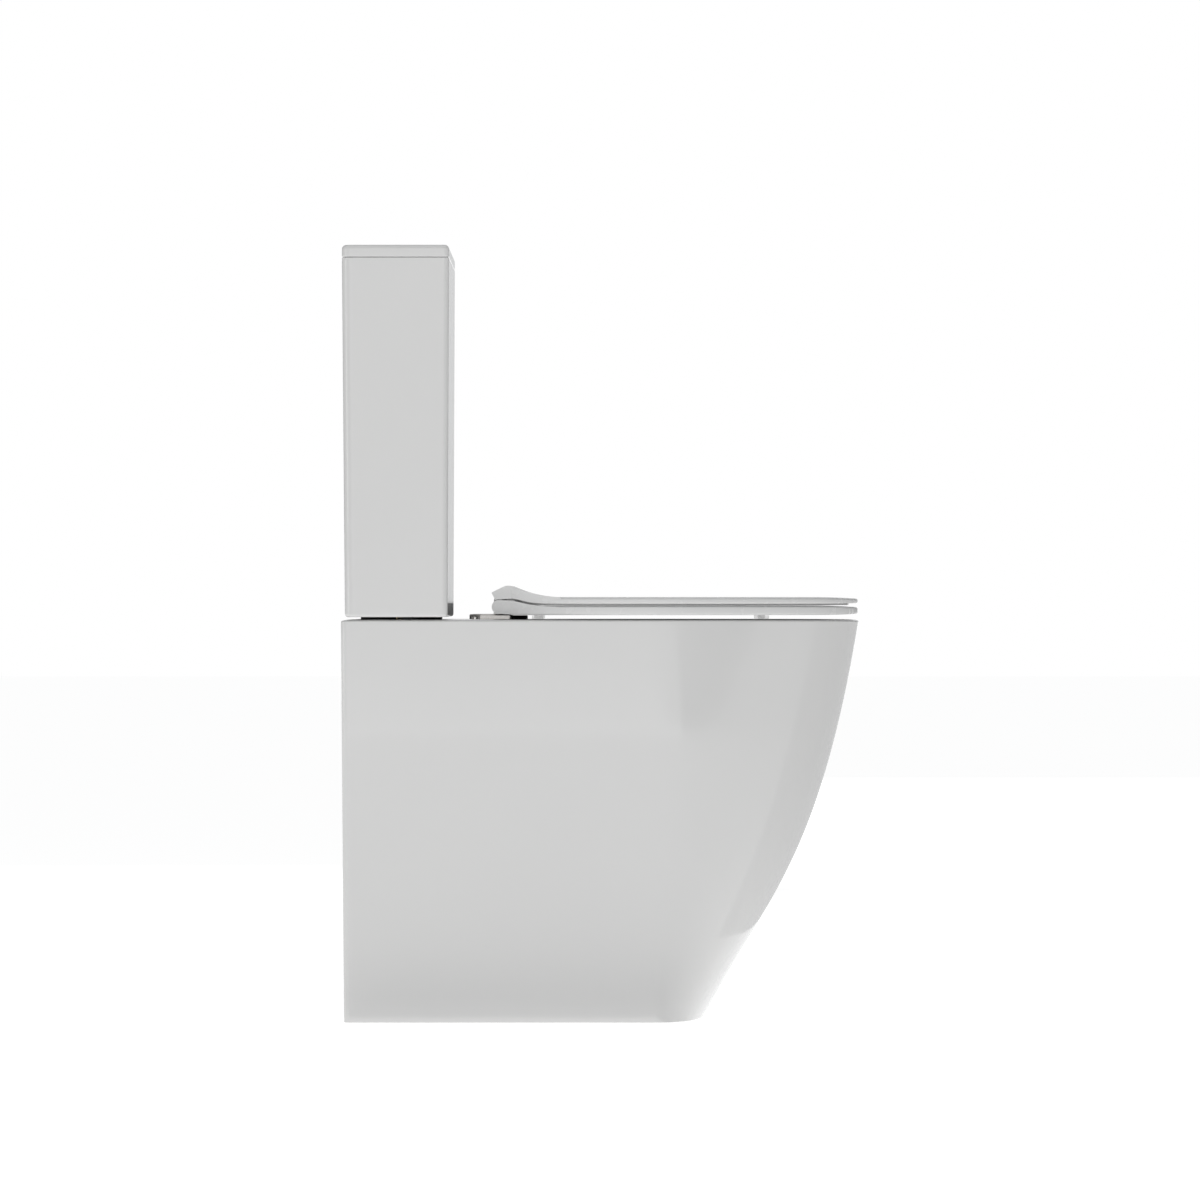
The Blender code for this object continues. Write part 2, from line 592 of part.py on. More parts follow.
# ---------------------------------------------------------------- cistern fixings
def make_cistern_fixings(rubber, brass, nylon):
    for side, s in SIDES:
        at = (s * BOLT_X, VALVE_Y, 0)
        tube("tank_bolt_seal_" + side, 0.0042, 0.0100, FLOOR_IN + GAP, FLOOR_IN + 0.0028, at, rubber, 20)
        head = FLOOR_IN + 0.0031
        turned("tank_bolt_" + side,
               [(0, 0.3900), (0.0038, 0.3900), (0.0038, head), (0.0080, head), (0.0080, head + 0.003),
                (0.0050, head + 0.0045), (0, head + 0.0045)], at, brass, steps=20)
        tube("tank_bolt_washer_" + side, 0.0042, 0.0105, CAVITY_TOP - 0.0023, CAVITY_TOP - GAP, at,
             brass, 20)
        wing_nut("tank_bolt_nut_" + side, at[:2], CAVITY_TOP - 0.0026, 0.0085, 0.0041, nylon)
        rod("cistern_pad_" + side, 0.0110, RIM_Z + GAP, CISTERN_Z - GAP, (s * 0.158, VALVE_Y - 0.01, 0),
            rubber, steps=20)
    # soft ring that seals the flush valve's nut into the pan's recess
    turned("coupling_gasket",
           [(0.0292, RECESS_FLOOR + GAP), (0.0440, RECESS_FLOOR + GAP), (0.0448, 0.4160),
            (0.0448, CISTERN_Z - GAP), (0.0390, CISTERN_Z - GAP), (0.0390, 0.4210), (0.0292, 0.4210)],
           (0, VALVE_Y, 0), rubber)


# ---------------------------------------------------------------- flush valve
def make_flush_valve(shell, rubber, accent):
    at = (0, VALVE_Y, 0)
    washer_top = FLOOR_IN + 0.0028
    tube("flush_valve_seal", 0.0296, 0.0370, FLOOR_IN + GAP, washer_top, at, rubber)
    flange = washer_top + GAP
    turned("flush_valve_base",
           [(0.0240, 0.4180), (0.0285, 0.4180), (0.0285, flange), (0.0380, flange),
            (0.0380, flange + 0.0050), (0.0270, flange + 0.0050), (0.0270, flange + 0.0090),
            (0.0240, flange + 0.0090)], at, shell)
    tube("flush_valve_nut", 0.0289, 0.0380, 0.4215, CISTERN_Z - 0.0006, at, shell)
    seat = flange + 0.0093
    # tower, with windows that let the water through to the seat
    tower = turned("flush_valve_tower",
                   [(0.0275, flange + 0.0053), (0.0350, flange + 0.0053), (0.0350, flange + 0.0110),
                    (0.0310, flange + 0.0160), (0.0310, 0.6900), (0.0340, 0.6950), (0.0340, 0.7000),
                    (0.0285, 0.7000), (0.0285, flange + 0.0110), (0.0275, flange + 0.0105)], at, shell)
    for name, x, y in (("side", 0.05, 0.0110), ("front", 0.0110, 0.05)):
        cut(tower, block("tower_window_" + name, (-x, VALVE_Y - y, flange + 0.0180),
                         (x, VALVE_Y + y, 0.520)))
    # fork posts that carry the rockers
    for side, s in SIDES:
        x = s * ROCKER_X
        for end, fork in SIDES:
            y = VALVE_Y + fork * 0.0060
            join(tower, block(f"rocker_post_{side}_{end}", (x - 0.0035, y - 0.0018, 0.6950),
                              (x + 0.0035, y + 0.0018, 0.7240)))
        cut(tower, rod_along_y("rocker_axle_hole_" + side, AXLE_BORE, x, ROCKER_Z, 0.012))
    # sliding overflow tube with its seal
    turned("overflow_tube",
           [(0.0100, seat + 0.0005), (0.0230, seat + 0.0050), (0.0230, seat + 0.0070),
            (0.0125, seat + 0.0120), (0.0125, 0.7150), (0.0180, 0.7160), (0.0180, 0.7180),
            (0.0125, 0.7198), (0.0100, 0.7198)], at, accent)
    turned("flush_seal",
           [(0.0115, seat), (0.0255, seat), (0.0262, seat + 0.0020), (0.0232, seat + 0.0047),
            (0.0115, seat + 0.0001)], at, rubber)
    make_rocker("rocker_full", 1, 0.0142, accent)
    make_rocker("rocker_half", -1, 0.0215, accent)


def rod_along_y(name, radius, x, z, half):
    """A round rod across the row of fittings, for an axle or its hole."""
    return loft(name, [[(x + radius * cos(t), VALVE_Y + y, z + radius * sin(t))
                        for t in (tau * i / 12 for i in range(12))] for y in (-half, half)])


def make_rocker(name, s, inner, mat):
    """A two armed lever, pushed down at its outer pad. Its inner end rises under the tube's collar."""
    x, z = s * ROCKER_X, ROCKER_Z
    arm = [(s * inner, z - 0.0074), (s * ROCKER_PAD, z - 0.0020), (s * ROCKER_PAD, z + 0.0010),
           (s * inner, z - 0.0048)]
    rocker = loft(name, [[(px, VALVE_Y + y, pz) for px, pz in arm] for y in (-0.0036, 0.0036)], mat)
    join(rocker, rod_along_y(name + "_boss", 0.0032, x, z, 0.0037),
         rod_along_y(name + "_axle", AXLE_RADIUS, x, z, 0.0085))
    pivot(rocker, (x, VALVE_Y, z))


# ---------------------------------------------------------------- push button
def button_outline(s, scale=1.0):
    """The part of the button's disc on one side of the gap, s = 1 for the larger part."""
    chord = BUTTON_SPLIT + s * 0.0005
    reach = pi / 2 + s * 0.22    # half of the arc, which runs just past the chord
    middle = 0 if s > 0 else pi
    keep = max if s > 0 else min
    points = arc(0, 0, BUTTON_RADIUS, middle - reach, middle + reach, 16)
    return [(scale * keep(x, chord), scale * y + VALVE_Y) for x, y in points]


def make_buttons(chrome, shell, steel):
    at = (0, VALVE_Y, 0)
    sleeve_top = SLEEVE_FLOOR + 0.002
    bezel = turned("button_bezel",
                   [(0.0202, sleeve_top), (0.0202, 0.8424), (0.0212, 0.8428), (0.0255, 0.8420),
                    (0.0270, 0.8403), (0.0229, 0.8403), (0.0229, SLEEVE_FLOOR), (0.0030, SLEEVE_FLOOR),
                    (0.0030, sleeve_top)], at, chrome)
    tube("button_ring_nut", 0.0233, 0.0320, 0.8200, TOP_Z - LID_SHELL - 0.0005, at, shell)
    for name, s, stem_x in (("half", -1, -0.0118), ("full", 1, 0.0090)):
        button = loft(f"flush_button_{name}",
                      [at_height(button_outline(s), BUTTON_TOP - 0.0071),
                       at_height(button_outline(s), BUTTON_TOP - 0.0008),
                       at_height(button_outline(s, 0.97), BUTTON_TOP)], chrome)
        stem_at = (stem_x, VALVE_Y, 0)
        cut(bezel, rod(f"stem_hole_{name}", 0.0026, 0.80, 0.82, stem_at, steps=12))
        join(button, rod(f"button_stem_{name}", 0.0020, CRANK_Z0, 0.8370, stem_at, steps=12))
        # crank out to the rocker's pad
        foot_x = s * (ROCKER_PAD - 0.0030)
        x0, x1 = span(stem_x, foot_x)
        join(button, block(f"button_crank_{name}", (x0, VALVE_Y - 0.0020, CRANK_Z0),
                           (x1, VALVE_Y + 0.0020, CRANK_Z1)))
        join(button, block(f"button_foot_{name}", (foot_x - 0.0020, VALVE_Y - 0.0020, ROCKER_Z + 0.0018),
                           (foot_x + 0.0020, VALVE_Y + 0.0020, CRANK_Z1 - 0.0010)))
        pivot(button, (0, VALVE_Y, BUTTON_TOP))
        make_spring(f"button_spring_{name}", (stem_x, VALVE_Y), sleeve_top + 0.0006, 0.8340, steel)


def make_spring(name, at, z0, z1, mat):
    """A round wire coil with closed ends."""
    wire, radius, turns, per_turn, sides = 0.0004, 0.0034, 4, 8, 4
    count = turns * per_turn
    sections = []
    for i in range(count + 1):
        t = tau * i / per_turn
        z = z0 + wire + (z1 - z0 - 2 * wire) * i / count
        out = Vector((cos(t), sin(t), 0))
        sections.append([Vector((at[0], at[1], z)) + radius * out
                         + wire * (cos(a) * out + sin(a) * Vector((0, 0, 1)))
                         for a in (tau * k / sides for k in range(sides))])
    loft(name, sections, mat)


# ---------------------------------------------------------------- fill valve
def make_fill_valve(shell, rubber, accent, brass):
    at = (FILL_X, VALVE_Y, 0)
    tube("fill_valve_seal", 0.0108, 0.0150, FLOOR_IN + GAP, FLOOR_IN + 0.0025, at, rubber, 24)
    flange = FLOOR_IN + 0.0028
    turned("fill_valve_shank",
           [(0.0050, 0.3900), (0.0104, 0.3900), (0.0104, flange), (0.0160, flange),
            (0.0160, flange + 0.0045), (0.0050, flange + 0.0045)], at, brass, steps=24)
    hexagon = [(FILL_X + 0.0168 * cos(tau * i / 6), VALVE_Y + 0.0168 * sin(tau * i / 6)) for i in range(6)]
    nut = prism("fill_valve_nut", hexagon, 0.4280, CISTERN_Z - 0.0006, brass, smooth=False)
    cut(nut, rod("fill_nut_bore", 0.0108, 0.42, 0.45, at, steps=24))
    foot = flange + 0.0048
    body = turned("fill_valve_body",
                  [(0, foot), (0.0150, foot), (0.0150, foot + 0.006), (0.0120, foot + 0.010),
                   (0.0120, 0.7560), (0.0200, 0.7600), (0.0210, 0.7650), (0.0210, 0.7760),
                   (0.0170, 0.7840), (0, 0.7840)], at, shell, steps=28)
    # fork for the float lever
    for end, fork in SIDES:
        y = VALVE_Y + fork * 0.0048
        join(body, block("lever_post_" + end, (LEVER_X - 0.0040, y - 0.0014, 0.7620),
                         (LEVER_X + 0.0050, y + 0.0014, 0.7760)))
    cut(body, rod_along_y("lever_axle_hole", AXLE_BORE, LEVER_X, LEVER_Z, 0.012))
    cut(body, block("lever_slot", (LEVER_X - 0.0070, VALVE_Y - 0.0034, 0.7600),
                    (LEVER_X + 0.0070, VALVE_Y + 0.0034, 0.7900)))
    # float cup on the column, with a link rod beside it
    cup = turned("float_cup",
                 [(0.0128, FLOAT_Z0 + 0.002), (0.0160, FLOAT_Z0 + 0.002), (0.0180, FLOAT_Z0),
                  (0.0300, FLOAT_Z0), (0.0320, FLOAT_Z0 + 0.002), (0.0320, FLOAT_Z1 - 0.002),
                  (0.0300, FLOAT_Z1), (0.0128, FLOAT_Z1)], at, accent, steps=24)
    link_x = LEVER_X - 0.0200
    join(cup, block("float_link_arm", (link_x - 0.0020, VALVE_Y - 0.0020, FLOAT_Z1 - 0.0060),
                    (FILL_X - 0.0250, VALVE_Y + 0.0020, FLOAT_Z1 - 0.0020)))
    join(cup, block("float_link", (link_x - 0.0020, VALVE_Y - 0.0020, FLOAT_Z1 - 0.0060),
                    (link_x + 0.0020, VALVE_Y + 0.0020, LEVER_Z - 0.0040)))
    pivot(cup, (FILL_X, VALVE_Y, FLOAT_Z0))
    lever = block("float_lever", (LEVER_X - 0.0240, VALVE_Y - 0.0028, LEVER_Z - 0.0015),
                  (LEVER_X + 0.0030, VALVE_Y + 0.0028, LEVER_Z + 0.0015), accent)
    join(lever, rod_along_y("lever_axle", AXLE_RADIUS, LEVER_X, LEVER_Z, 0.0062))
    pivot(lever, (LEVER_X, VALVE_Y, LEVER_Z))


# ---------------------------------------------------------------- the whole
def main():
    clear_scene()
    china = material("glazed_china", (0.80, 0.80, 0.79), 0.12)
    resin = material("seat_resin", (0.82, 0.82, 0.81), 0.25)
    chrome = material("chrome", (0.80, 0.80, 0.80), 0.08, 1.0)
    steel = material("steel", (0.62, 0.62, 0.60), 0.30, 1.0)
    brass = material("brass", (0.72, 0.56, 0.28), 0.32, 1.0)
    black = material("black_plastic", (0.02, 0.022, 0.02), 0.45)
    rubber = material("rubber", (0.03, 0.03, 0.03), 0.75)
    buffer = material("clear_buffer", (0.70, 0.70, 0.68), 0.45)
    nylon = material("nylon", (0.75, 0.75, 0.72), 0.45)
    accent = material("blue_plastic", (0.10, 0.28, 0.60), 0.40)
    make_pan(china)
    make_tank(china)
    make_cistern_lid(china)
    make_seat_ring(resin)
    make_seat_lid(resin)
    make_buffers(buffer)
    make_hinges(chrome, black, steel, nylon)
    make_cistern_fixings(rubber, brass, nylon)
    make_flush_valve(nylon, rubber, accent)
    make_buttons(chrome, nylon, steel)
    make_fill_valve(nylon, rubber, accent, brass)


main()
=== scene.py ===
"""Close coupled toilet: fine surfaces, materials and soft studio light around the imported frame."""
import json
from math import cos, pi, radians, sin, tau

import bmesh
import bpy
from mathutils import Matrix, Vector


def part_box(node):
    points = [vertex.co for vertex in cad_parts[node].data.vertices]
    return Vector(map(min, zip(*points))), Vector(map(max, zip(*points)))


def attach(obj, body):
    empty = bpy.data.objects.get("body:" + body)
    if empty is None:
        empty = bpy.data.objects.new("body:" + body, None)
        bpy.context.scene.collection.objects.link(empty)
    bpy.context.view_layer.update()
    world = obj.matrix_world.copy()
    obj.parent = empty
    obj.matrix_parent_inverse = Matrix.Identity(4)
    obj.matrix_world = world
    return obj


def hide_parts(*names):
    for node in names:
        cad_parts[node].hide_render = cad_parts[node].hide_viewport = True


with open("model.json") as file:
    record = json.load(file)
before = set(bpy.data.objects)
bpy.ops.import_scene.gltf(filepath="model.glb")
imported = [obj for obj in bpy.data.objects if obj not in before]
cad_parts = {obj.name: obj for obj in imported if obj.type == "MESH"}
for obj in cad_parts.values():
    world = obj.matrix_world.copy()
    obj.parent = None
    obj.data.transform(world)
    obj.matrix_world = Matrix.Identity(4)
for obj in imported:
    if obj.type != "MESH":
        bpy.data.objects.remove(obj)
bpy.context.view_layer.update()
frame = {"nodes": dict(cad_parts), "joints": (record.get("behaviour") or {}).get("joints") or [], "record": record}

# ---------------------------------------------------------------- places read from the frame
PAN_LOW, PAN_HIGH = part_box("pan")
TANK_LOW, TANK_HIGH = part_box("cistern_tank")
LID_LOW, LID_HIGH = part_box("cistern_lid")
RING_LOW, RING_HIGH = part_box("seat_ring")
SHUT_LOW, SHUT_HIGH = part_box("seat_lid")

JOINTS = {joint["name"]: joint for joint in frame["joints"]}
HINGE_Y, HINGE_Z = JOINTS["seat_ring_hinge"]["pos_m"][1:]

FRONT, REAR = PAN_LOW[1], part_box("pan_rear_wall")[1][1]
RIM_Z = PAN_HIGH[2]
VALVE_Y = sum(axis[1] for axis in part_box("flush_valve_base")) / 2
TOP_Z = LID_HIGH[2]

# ---------------------------------------------------------------- shape of the china, in metres
PAN_HALF_TOP = PAN_HIGH[0]
PAN_HALF_FOOT = 0.165
REAR_DRAFT = 0.0027
FOOT_FRONT = -0.1119
NOSE_UPPER = (-0.2346, 0.1594)
NOSE_LOWER = (-0.1821, 0.1373)
NOSE_TOP_Z = RIM_Z - 0.003
PLAN_NOSE_TOP = 0.237
PLAN_NOSE_FOOT = 0.052
PAN_WALL = 0.012
CAVITY_TOP = RIM_Z - 0.016
BOWL_WALL = 0.010
BOWL_EDGE = 0.0080           # radius of the bowl's upper edge
OUTLET_Z = 0.185
OUTLET_BORE = 0.0425
TRAP_RADIUS = 0.028
SERVICE_HALF, SERVICE_TOP = 0.100, 0.360
DUCT_Z, DUCT_BORE, DUCT_WALL = 0.370, 0.028, 0.008
BEND_RADIUS_Y, BEND_RADIUS_Z = 0.035, 0.030
RECESS_RADIUS, RECESS_FLOOR = 0.0460, 0.4130
HINGE_BOLT_Y = 0.126

TANK_WALL = 0.009
TANK_FLOOR = 0.012
BOLT_X = 0.082
FILL_X = 0.125
TAPER_REAR, TAPER_FRONT, TAPER_SIDE = 0.0032, 0.0015, 0.0011

SEAT_STRAIGHT_Y = -0.045
SEAT_REAR_Y = 0.100
SEAT_HALF = SHUT_HIGH[0]
SEAT_REAR_HALF = 0.158
RING_TOP = 0.4509
PLATE_BASE, PLATE_TOP = 0.4528, 0.4602        # the flat part of the seat lid
EYE_RADIUS = 0.0072
PIN_RADIUS = 0.0040
PIN_HOLE = PIN_RADIUS + 0.0003
BARREL_RADIUS = 0.0076
BARREL_X = 0.0970
HINGE_X = 0.0775
COVER_HALF, COVER_CORNER = 0.0185, 0.0148
COVER_FRONT, COVER_REAR, COVER_TOP = 0.0993, 0.1448, 0.4416
PAD_FRONT, PAD_TOP = 0.0827, 0.4400

SIDES = (("left", -1), ("right", 1))


# ---------------------------------------------------------------- mesh helpers
def to_object(name, bm):
    bmesh.ops.recalc_face_normals(bm, faces=bm.faces)
    mesh = bpy.data.meshes.new(name)
    bm.to_mesh(mesh)
    bm.free()
    obj = bpy.data.objects.new(name, mesh)
    bpy.context.scene.collection.objects.link(obj)
    return obj


def loft(name, sections):
    """A closed solid through sections, which hold the same number of (x, y, z) points."""
    bm = bmesh.new()
    rings = [[bm.verts.new(point) for point in section] for section in sections]
    count = len(sections[0])
    for low, high in zip(rings, rings[1:]):
        for i in range(count):
            j = (i + 1) % count
            bm.faces.new((low[i], low[j], high[j], high[i]))
    bm.faces.new(list(reversed(rings[0])))
    bm.faces.new(rings[-1])
    return to_object(name, bm)


def prism(name, outline, z0, z1):
    return loft(name, [[(x, y, z) for x, y in outline] for z in (z0, z1)])


def side_prism(name, outline, x0, x1):
    return loft(name, [[(x, y, z) for y, z in outline] for x in (x0, x1)])


def block(name, low, high):
    corners = [(low[0], low[1]), (high[0], low[1]), (high[0], high[1]), (low[0], high[1])]
    return prism(name, corners, low[2], high[2])


def turned(name, profile, at, steps=64, axis="Z"):
    """A turned solid. The profile is a list of (radius, height) and closes on itself or the axis."""
    bm = bmesh.new()

    def place(radius, height, angle):
        across, along = radius * cos(angle), radius * sin(angle)
        local = {"Z": (across, along, height), "X": (height, across, along)}[axis]
        return Vector(at) + Vector(local)

    rings = []
    for radius, height in profile:
        count = steps if radius else 1
        rings.append([bm.verts.new(place(radius, height, tau * i / steps)) for i in range(count)])
    pairs = list(zip(rings, rings[1:]))
    if len(rings[0]) > 1:
        pairs.append((rings[-1], rings[0]))
    for a, b in pairs:
        for i in range(steps):
            j = (i + 1) % steps
            if len(a) == 1 and len(b) > 1:
                bm.faces.new((a[0], b[i], b[j]))
            elif len(b) == 1 and len(a) > 1:
                bm.faces.new((a[i], b[0], a[j]))
            elif len(a) > 1:
                bm.faces.new((a[i], a[j], b[j], b[i]))
    return to_object(name, bm)


def rod(name, radius, z0, z1, at, steps=48, axis="Z"):
    return turned(name, [(0, z0), (radius, z0), (radius, z1), (0, z1)], at, steps, axis)


def hole(radius, z0, z1, x=0.0, y=VALVE_Y, steps=48):
    """An upright cutter for a round hole."""
    return rod("hole", radius, z0, z1, (x, y, 0), steps)


def pin_hole(a, b):
    """A cutter for the hinge pin between two places across."""
    return rod("pin_hole", PIN_HOLE, min(a, b), max(a, b), (0, HINGE_Y, HINGE_Z), 32, "X")


def sweep(name, path, radii, steps=48):
    """A round solid along a path of (y, z) points at x = 0, with a radius at each point."""
    sections = []
    for i, (y, z) in enumerate(path):
        ahead = path[min(i + 1, len(path) - 1)]
        behind = path[max(i - 1, 0)]
        tangent = Vector((0, ahead[0] - behind[0], ahead[1] - behind[1])).normalized()
        across = tangent.cross(Vector((1, 0, 0)))
        centre = Vector((0, y, z))
        sections.append([centre + radii[i] * (cos(t) * Vector((1, 0, 0)) + sin(t) * across)
                         for t in (tau * k / steps for k in range(steps))])
    return loft(name, sections)


def boolean(obj, other, operation):
    """Apply a Boolean at once and remove the other shape."""
    modifier = obj.modifiers.new("Boolean", "BOOLEAN")
    modifier.operation = operation
    modifier.solver = "EXACT"
    modifier.object = other
    bpy.context.view_layer.update()
    evaluated = obj.evaluated_get(bpy.context.evaluated_depsgraph_get())
    mesh = bpy.data.meshes.new_from_object(evaluated)
    obj.modifiers.clear()
    obj.data = mesh
    bpy.data.objects.remove(other, do_unlink=True)
    return obj


def cut(obj, *others):
    for other in others:
        boolean(obj, other, "DIFFERENCE")
    return obj


def join(obj, *others):
    for other in others:
        boolean(obj, other, "UNION")
    return obj


def bevel(obj, width, segments=3, angle=35.0):
    modifier = obj.modifiers.new("Edges", "BEVEL")
    modifier.width = width
    modifier.segments = segments
    modifier.limit_method = "ANGLE"
    modifier.angle_limit = radians(angle)
    return obj


def smooth(obj, angle=32.0):
    """Smooth shading that keeps flat faces flat beside their rounded edges."""
    obj.data.shade_smooth()
    obj.data.set_sharp_from_angle(angle=radians(angle))
    modifier = obj.modifiers.new("Normals", "WEIGHTED_NORMAL")
    modifier.keep_sharp = True
    modifier.weight = 60
    return obj


def show(obj, body, mat, slot, *nodes, angle=32.0):
    """Finish a piece: its material, shading, body and the nodes it stands for. The slot argument is not used."""
    obj.data.materials.clear()
    obj.data.materials.append(mat)
    smooth(obj, angle)
    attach(obj, body)
    if nodes:
        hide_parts(*nodes)
    return obj


# ---------------------------------------------------------------- outlines
def arc(cx, cy, radius, start, end, steps):
    return [(cx + radius * cos(start + (end - start) * i / steps),
             cy + radius * sin(start + (end - start) * i / steps)) for i in range(steps + 1)]


def bezier(p0, p1, p2, p3, t):
    s = 1 - t
    return tuple(s ** 3 * a + 3 * s * s * t * b + 3 * s * t * t * c + t ** 3 * d
                 for a, b, c, d in zip(p0, p1, p2, p3))


def flowing(points, per=6):
    """A smooth open curve through the points."""
    result = []
    for i in range(len(points) - 1):
        p0 = points[max(i - 1, 0)]
        p1, p2 = points[i], points[i + 1]
        p3 = points[min(i + 2, len(points) - 1)]
        for k in range(per):
            t = k / per
            result.append(tuple(
                0.5 * (2 * b + (c - a) * t + (2 * a - 5 * b + 4 * c - d) * t * t
                       + (3 * b - a - 3 * c + d) * t ** 3) for a, b, c, d in zip(p0, p1, p2, p3)))
    return result + [points[-1]]


def d_outline(half, front, nose, rear, corner, steps=96):
    """Straight rear with round corners, straight sides, and a half ellipse of length nose in front."""
    shoulder = front + nose
    points = arc(half - corner, rear - corner, corner, 0, pi / 2, 6)
    points += arc(-half + corner, rear - corner, corner, pi / 2, pi, 6)
    points += [(half * cos(t), shoulder + nose * sin(t))
               for t in (pi + pi * i / steps for i in range(steps + 1))]
    return points


def box_outline(half, y0, y1, front_corner, rear_corner, steps=8):
    quarter = pi / 2
    points = arc(half - rear_corner, y1 - rear_corner, rear_corner, 0, quarter, steps)
    points += arc(-half + rear_corner, y1 - rear_corner, rear_corner, quarter, pi, steps)
    points += arc(-half + front_corner, y0 + front_corner, front_corner, pi, 3 * quarter, steps)
    points += arc(half - front_corner, y0 + front_corner, front_corner, 3 * quarter, tau, steps)
    return points


def at_height(outline, z):
    return [(x, y, z) for x, y in outline]


def rounded(radius, steps=6):
    """(inset, depth) pairs down a convex edge of that radius, from the top face to the side face."""
    return [(radius * (1 - sin(a)), radius * (1 - cos(a)))
            for a in (pi / 2 * i / steps for i in range(steps + 1))]


# ---------------------------------------------------------------- materials
class Nodes:
    """A Principled material and short calls for the textures that feed it."""

    def __init__(self, name, colour, roughness, metallic=0.0, **sockets):
        self.mat = bpy.data.materials.new(name)
        self.mat.use_nodes = True
        self.tree = self.mat.node_tree
        self.shader = self.tree.nodes["Principled BSDF"]
        self.shader.inputs["Base Color"].default_value = (*colour, 1.0)
        self.shader.inputs["Roughness"].default_value = roughness
        self.shader.inputs["Metallic"].default_value = metallic
        for key, value in sockets.items():
            self.shader.inputs[key.replace("_", " ")].default_value = value
        self.place = self.tree.nodes.new("ShaderNodeTexCoord").outputs["Object"]
        self.height = None

    def noise(self, scale, detail=3.0, stretch=(1, 1, 1)):
        mapping = self.tree.nodes.new("ShaderNodeMapping")
        mapping.inputs["Scale"].default_value = stretch
        self.tree.links.new(self.place, mapping.inputs["Vector"])
        texture = self.tree.nodes.new("ShaderNodeTexNoise")
        texture.inputs["Scale"].default_value = scale
        texture.inputs["Detail"].default_value = detail
        self.tree.links.new(mapping.outputs["Vector"], texture.inputs["Vector"])
        return texture.outputs["Fac"]

    def tint(self, fac, first, second):
        mix = self.tree.nodes.new("ShaderNodeMix")
        mix.data_type = "RGBA"
        mix.inputs["A"].default_value = (*first, 1.0)
        mix.inputs["B"].default_value = (*second, 1.0)
        self.tree.links.new(fac, mix.inputs["Factor"])
        self.tree.links.new(mix.outputs["Result"], self.shader.inputs["Base Color"])
        return self

    def gloss(self, fac, low, high):
        span = self.tree.nodes.new("ShaderNodeMapRange")
        span.inputs["From Min"].default_value = 0.3
        span.inputs["From Max"].default_value = 0.7
        span.inputs["To Min"].default_value = low
        span.inputs["To Max"].default_value = high
        self.tree.links.new(fac, span.inputs["Value"])
        self.tree.links.new(span.outputs["Result"], self.shader.inputs["Roughness"])
        return self

    def bump(self, fac, distance, strength=1.0):
        """Stack one more bump on those already there."""
        node = self.tree.nodes.new("ShaderNodeBump")
        node.inputs["Distance"].default_value = distance
        node.inputs["Strength"].default_value = strength
        self.tree.links.new(fac, node.inputs["Height"])
        if self.height:
            self.tree.links.new(self.height, node.inputs["Normal"])
        self.height = node.outputs["Normal"]
        self.tree.links.new(self.height, self.shader.inputs["Normal"])
        return self


def white_glaze():
    """Vitreous china: a clear glaze over white clay, very slightly wavy."""
    n = Nodes("white_glaze", (0.78, 0.78, 0.775), 0.10, IOR=1.52, Coat_Weight=0.35, Coat_Roughness=0.03)
    n.tint(n.noise(7.0, 4.0), (0.770, 0.770, 0.765), (0.792, 0.791, 0.784))
    n.gloss(n.noise(60.0, 4.0), 0.09, 0.15)
    n.bump(n.noise(9.0, 2.0), 0.00035, 0.5)
    return n.bump(n.noise(420.0, 2.0), 0.00002, 0.5).mat


def seat_resin():
    """Moulded white resin, a little softer in its shine than the china."""
    n = Nodes("seat_resin", (0.79, 0.79, 0.785), 0.24, IOR=1.5)
    n.tint(n.noise(11.0, 3.0), (0.780, 0.781, 0.777), (0.797, 0.797, 0.792))
    n.gloss(n.noise(90.0, 4.0), 0.20, 0.29)
    return n.bump(n.noise(260.0, 3.0), 0.000015, 0.6).mat


def polished_chrome():
    n = Nodes("polished_chrome", (0.54, 0.52, 0.50), 0.09, metallic=1.0)
    n.tint(n.noise(40.0, 3.0), (0.52, 0.50, 0.48), (0.56, 0.54, 0.52))
    n.gloss(n.noise(220.0, 5.0), 0.06, 0.14)
    return n.bump(n.noise(900.0, 2.0, (1, 12, 1)), 0.000004, 0.5).mat


def brushed_steel():
    """Stainless steel with its grain round the turned parts."""
    n = Nodes("brushed_steel", (0.58, 0.58, 0.57), 0.28, metallic=1.0)
    n.tint(n.noise(60.0, 4.0, (14, 1, 1)), (0.52, 0.52, 0.51), (0.63, 0.63, 0.62))
    n.gloss(n.noise(140.0, 4.0, (10, 1, 1)), 0.20, 0.38)
    return n.bump(n.noise(500.0, 3.0, (10, 1, 1)), 0.00001, 0.6).mat


def plain_brass():
    n = Nodes("plain_brass", (0.70, 0.52, 0.25), 0.30, metallic=1.0)
    n.tint(n.noise(80.0, 5.0), (0.62, 0.45, 0.20), (0.75, 0.58, 0.30))
    n.gloss(n.noise(150.0, 4.0), 0.22, 0.42)
    return n.bump(n.noise(600.0, 3.0), 0.00001, 0.6).mat


def black_moulding():
    n = Nodes("black_moulding", (0.006, 0.007, 0.006), 0.55, IOR=1.30)
    n.tint(n.noise(70.0, 4.0), (0.004, 0.005, 0.004), (0.009, 0.010, 0.009))
    n.gloss(n.noise(200.0, 4.0), 0.50, 0.62)
    return n.bump(n.noise(1300.0, 2.0), 0.00002, 0.6).mat


def black_rubber():
    n = Nodes("black_rubber", (0.022, 0.022, 0.022), 0.72)
    n.tint(n.noise(50.0, 5.0), (0.016, 0.016, 0.016), (0.034, 0.034, 0.033))
    n.gloss(n.noise(160.0, 4.0), 0.62, 0.85)
    return n.bump(n.noise(900.0, 4.0), 0.00005, 0.6).mat


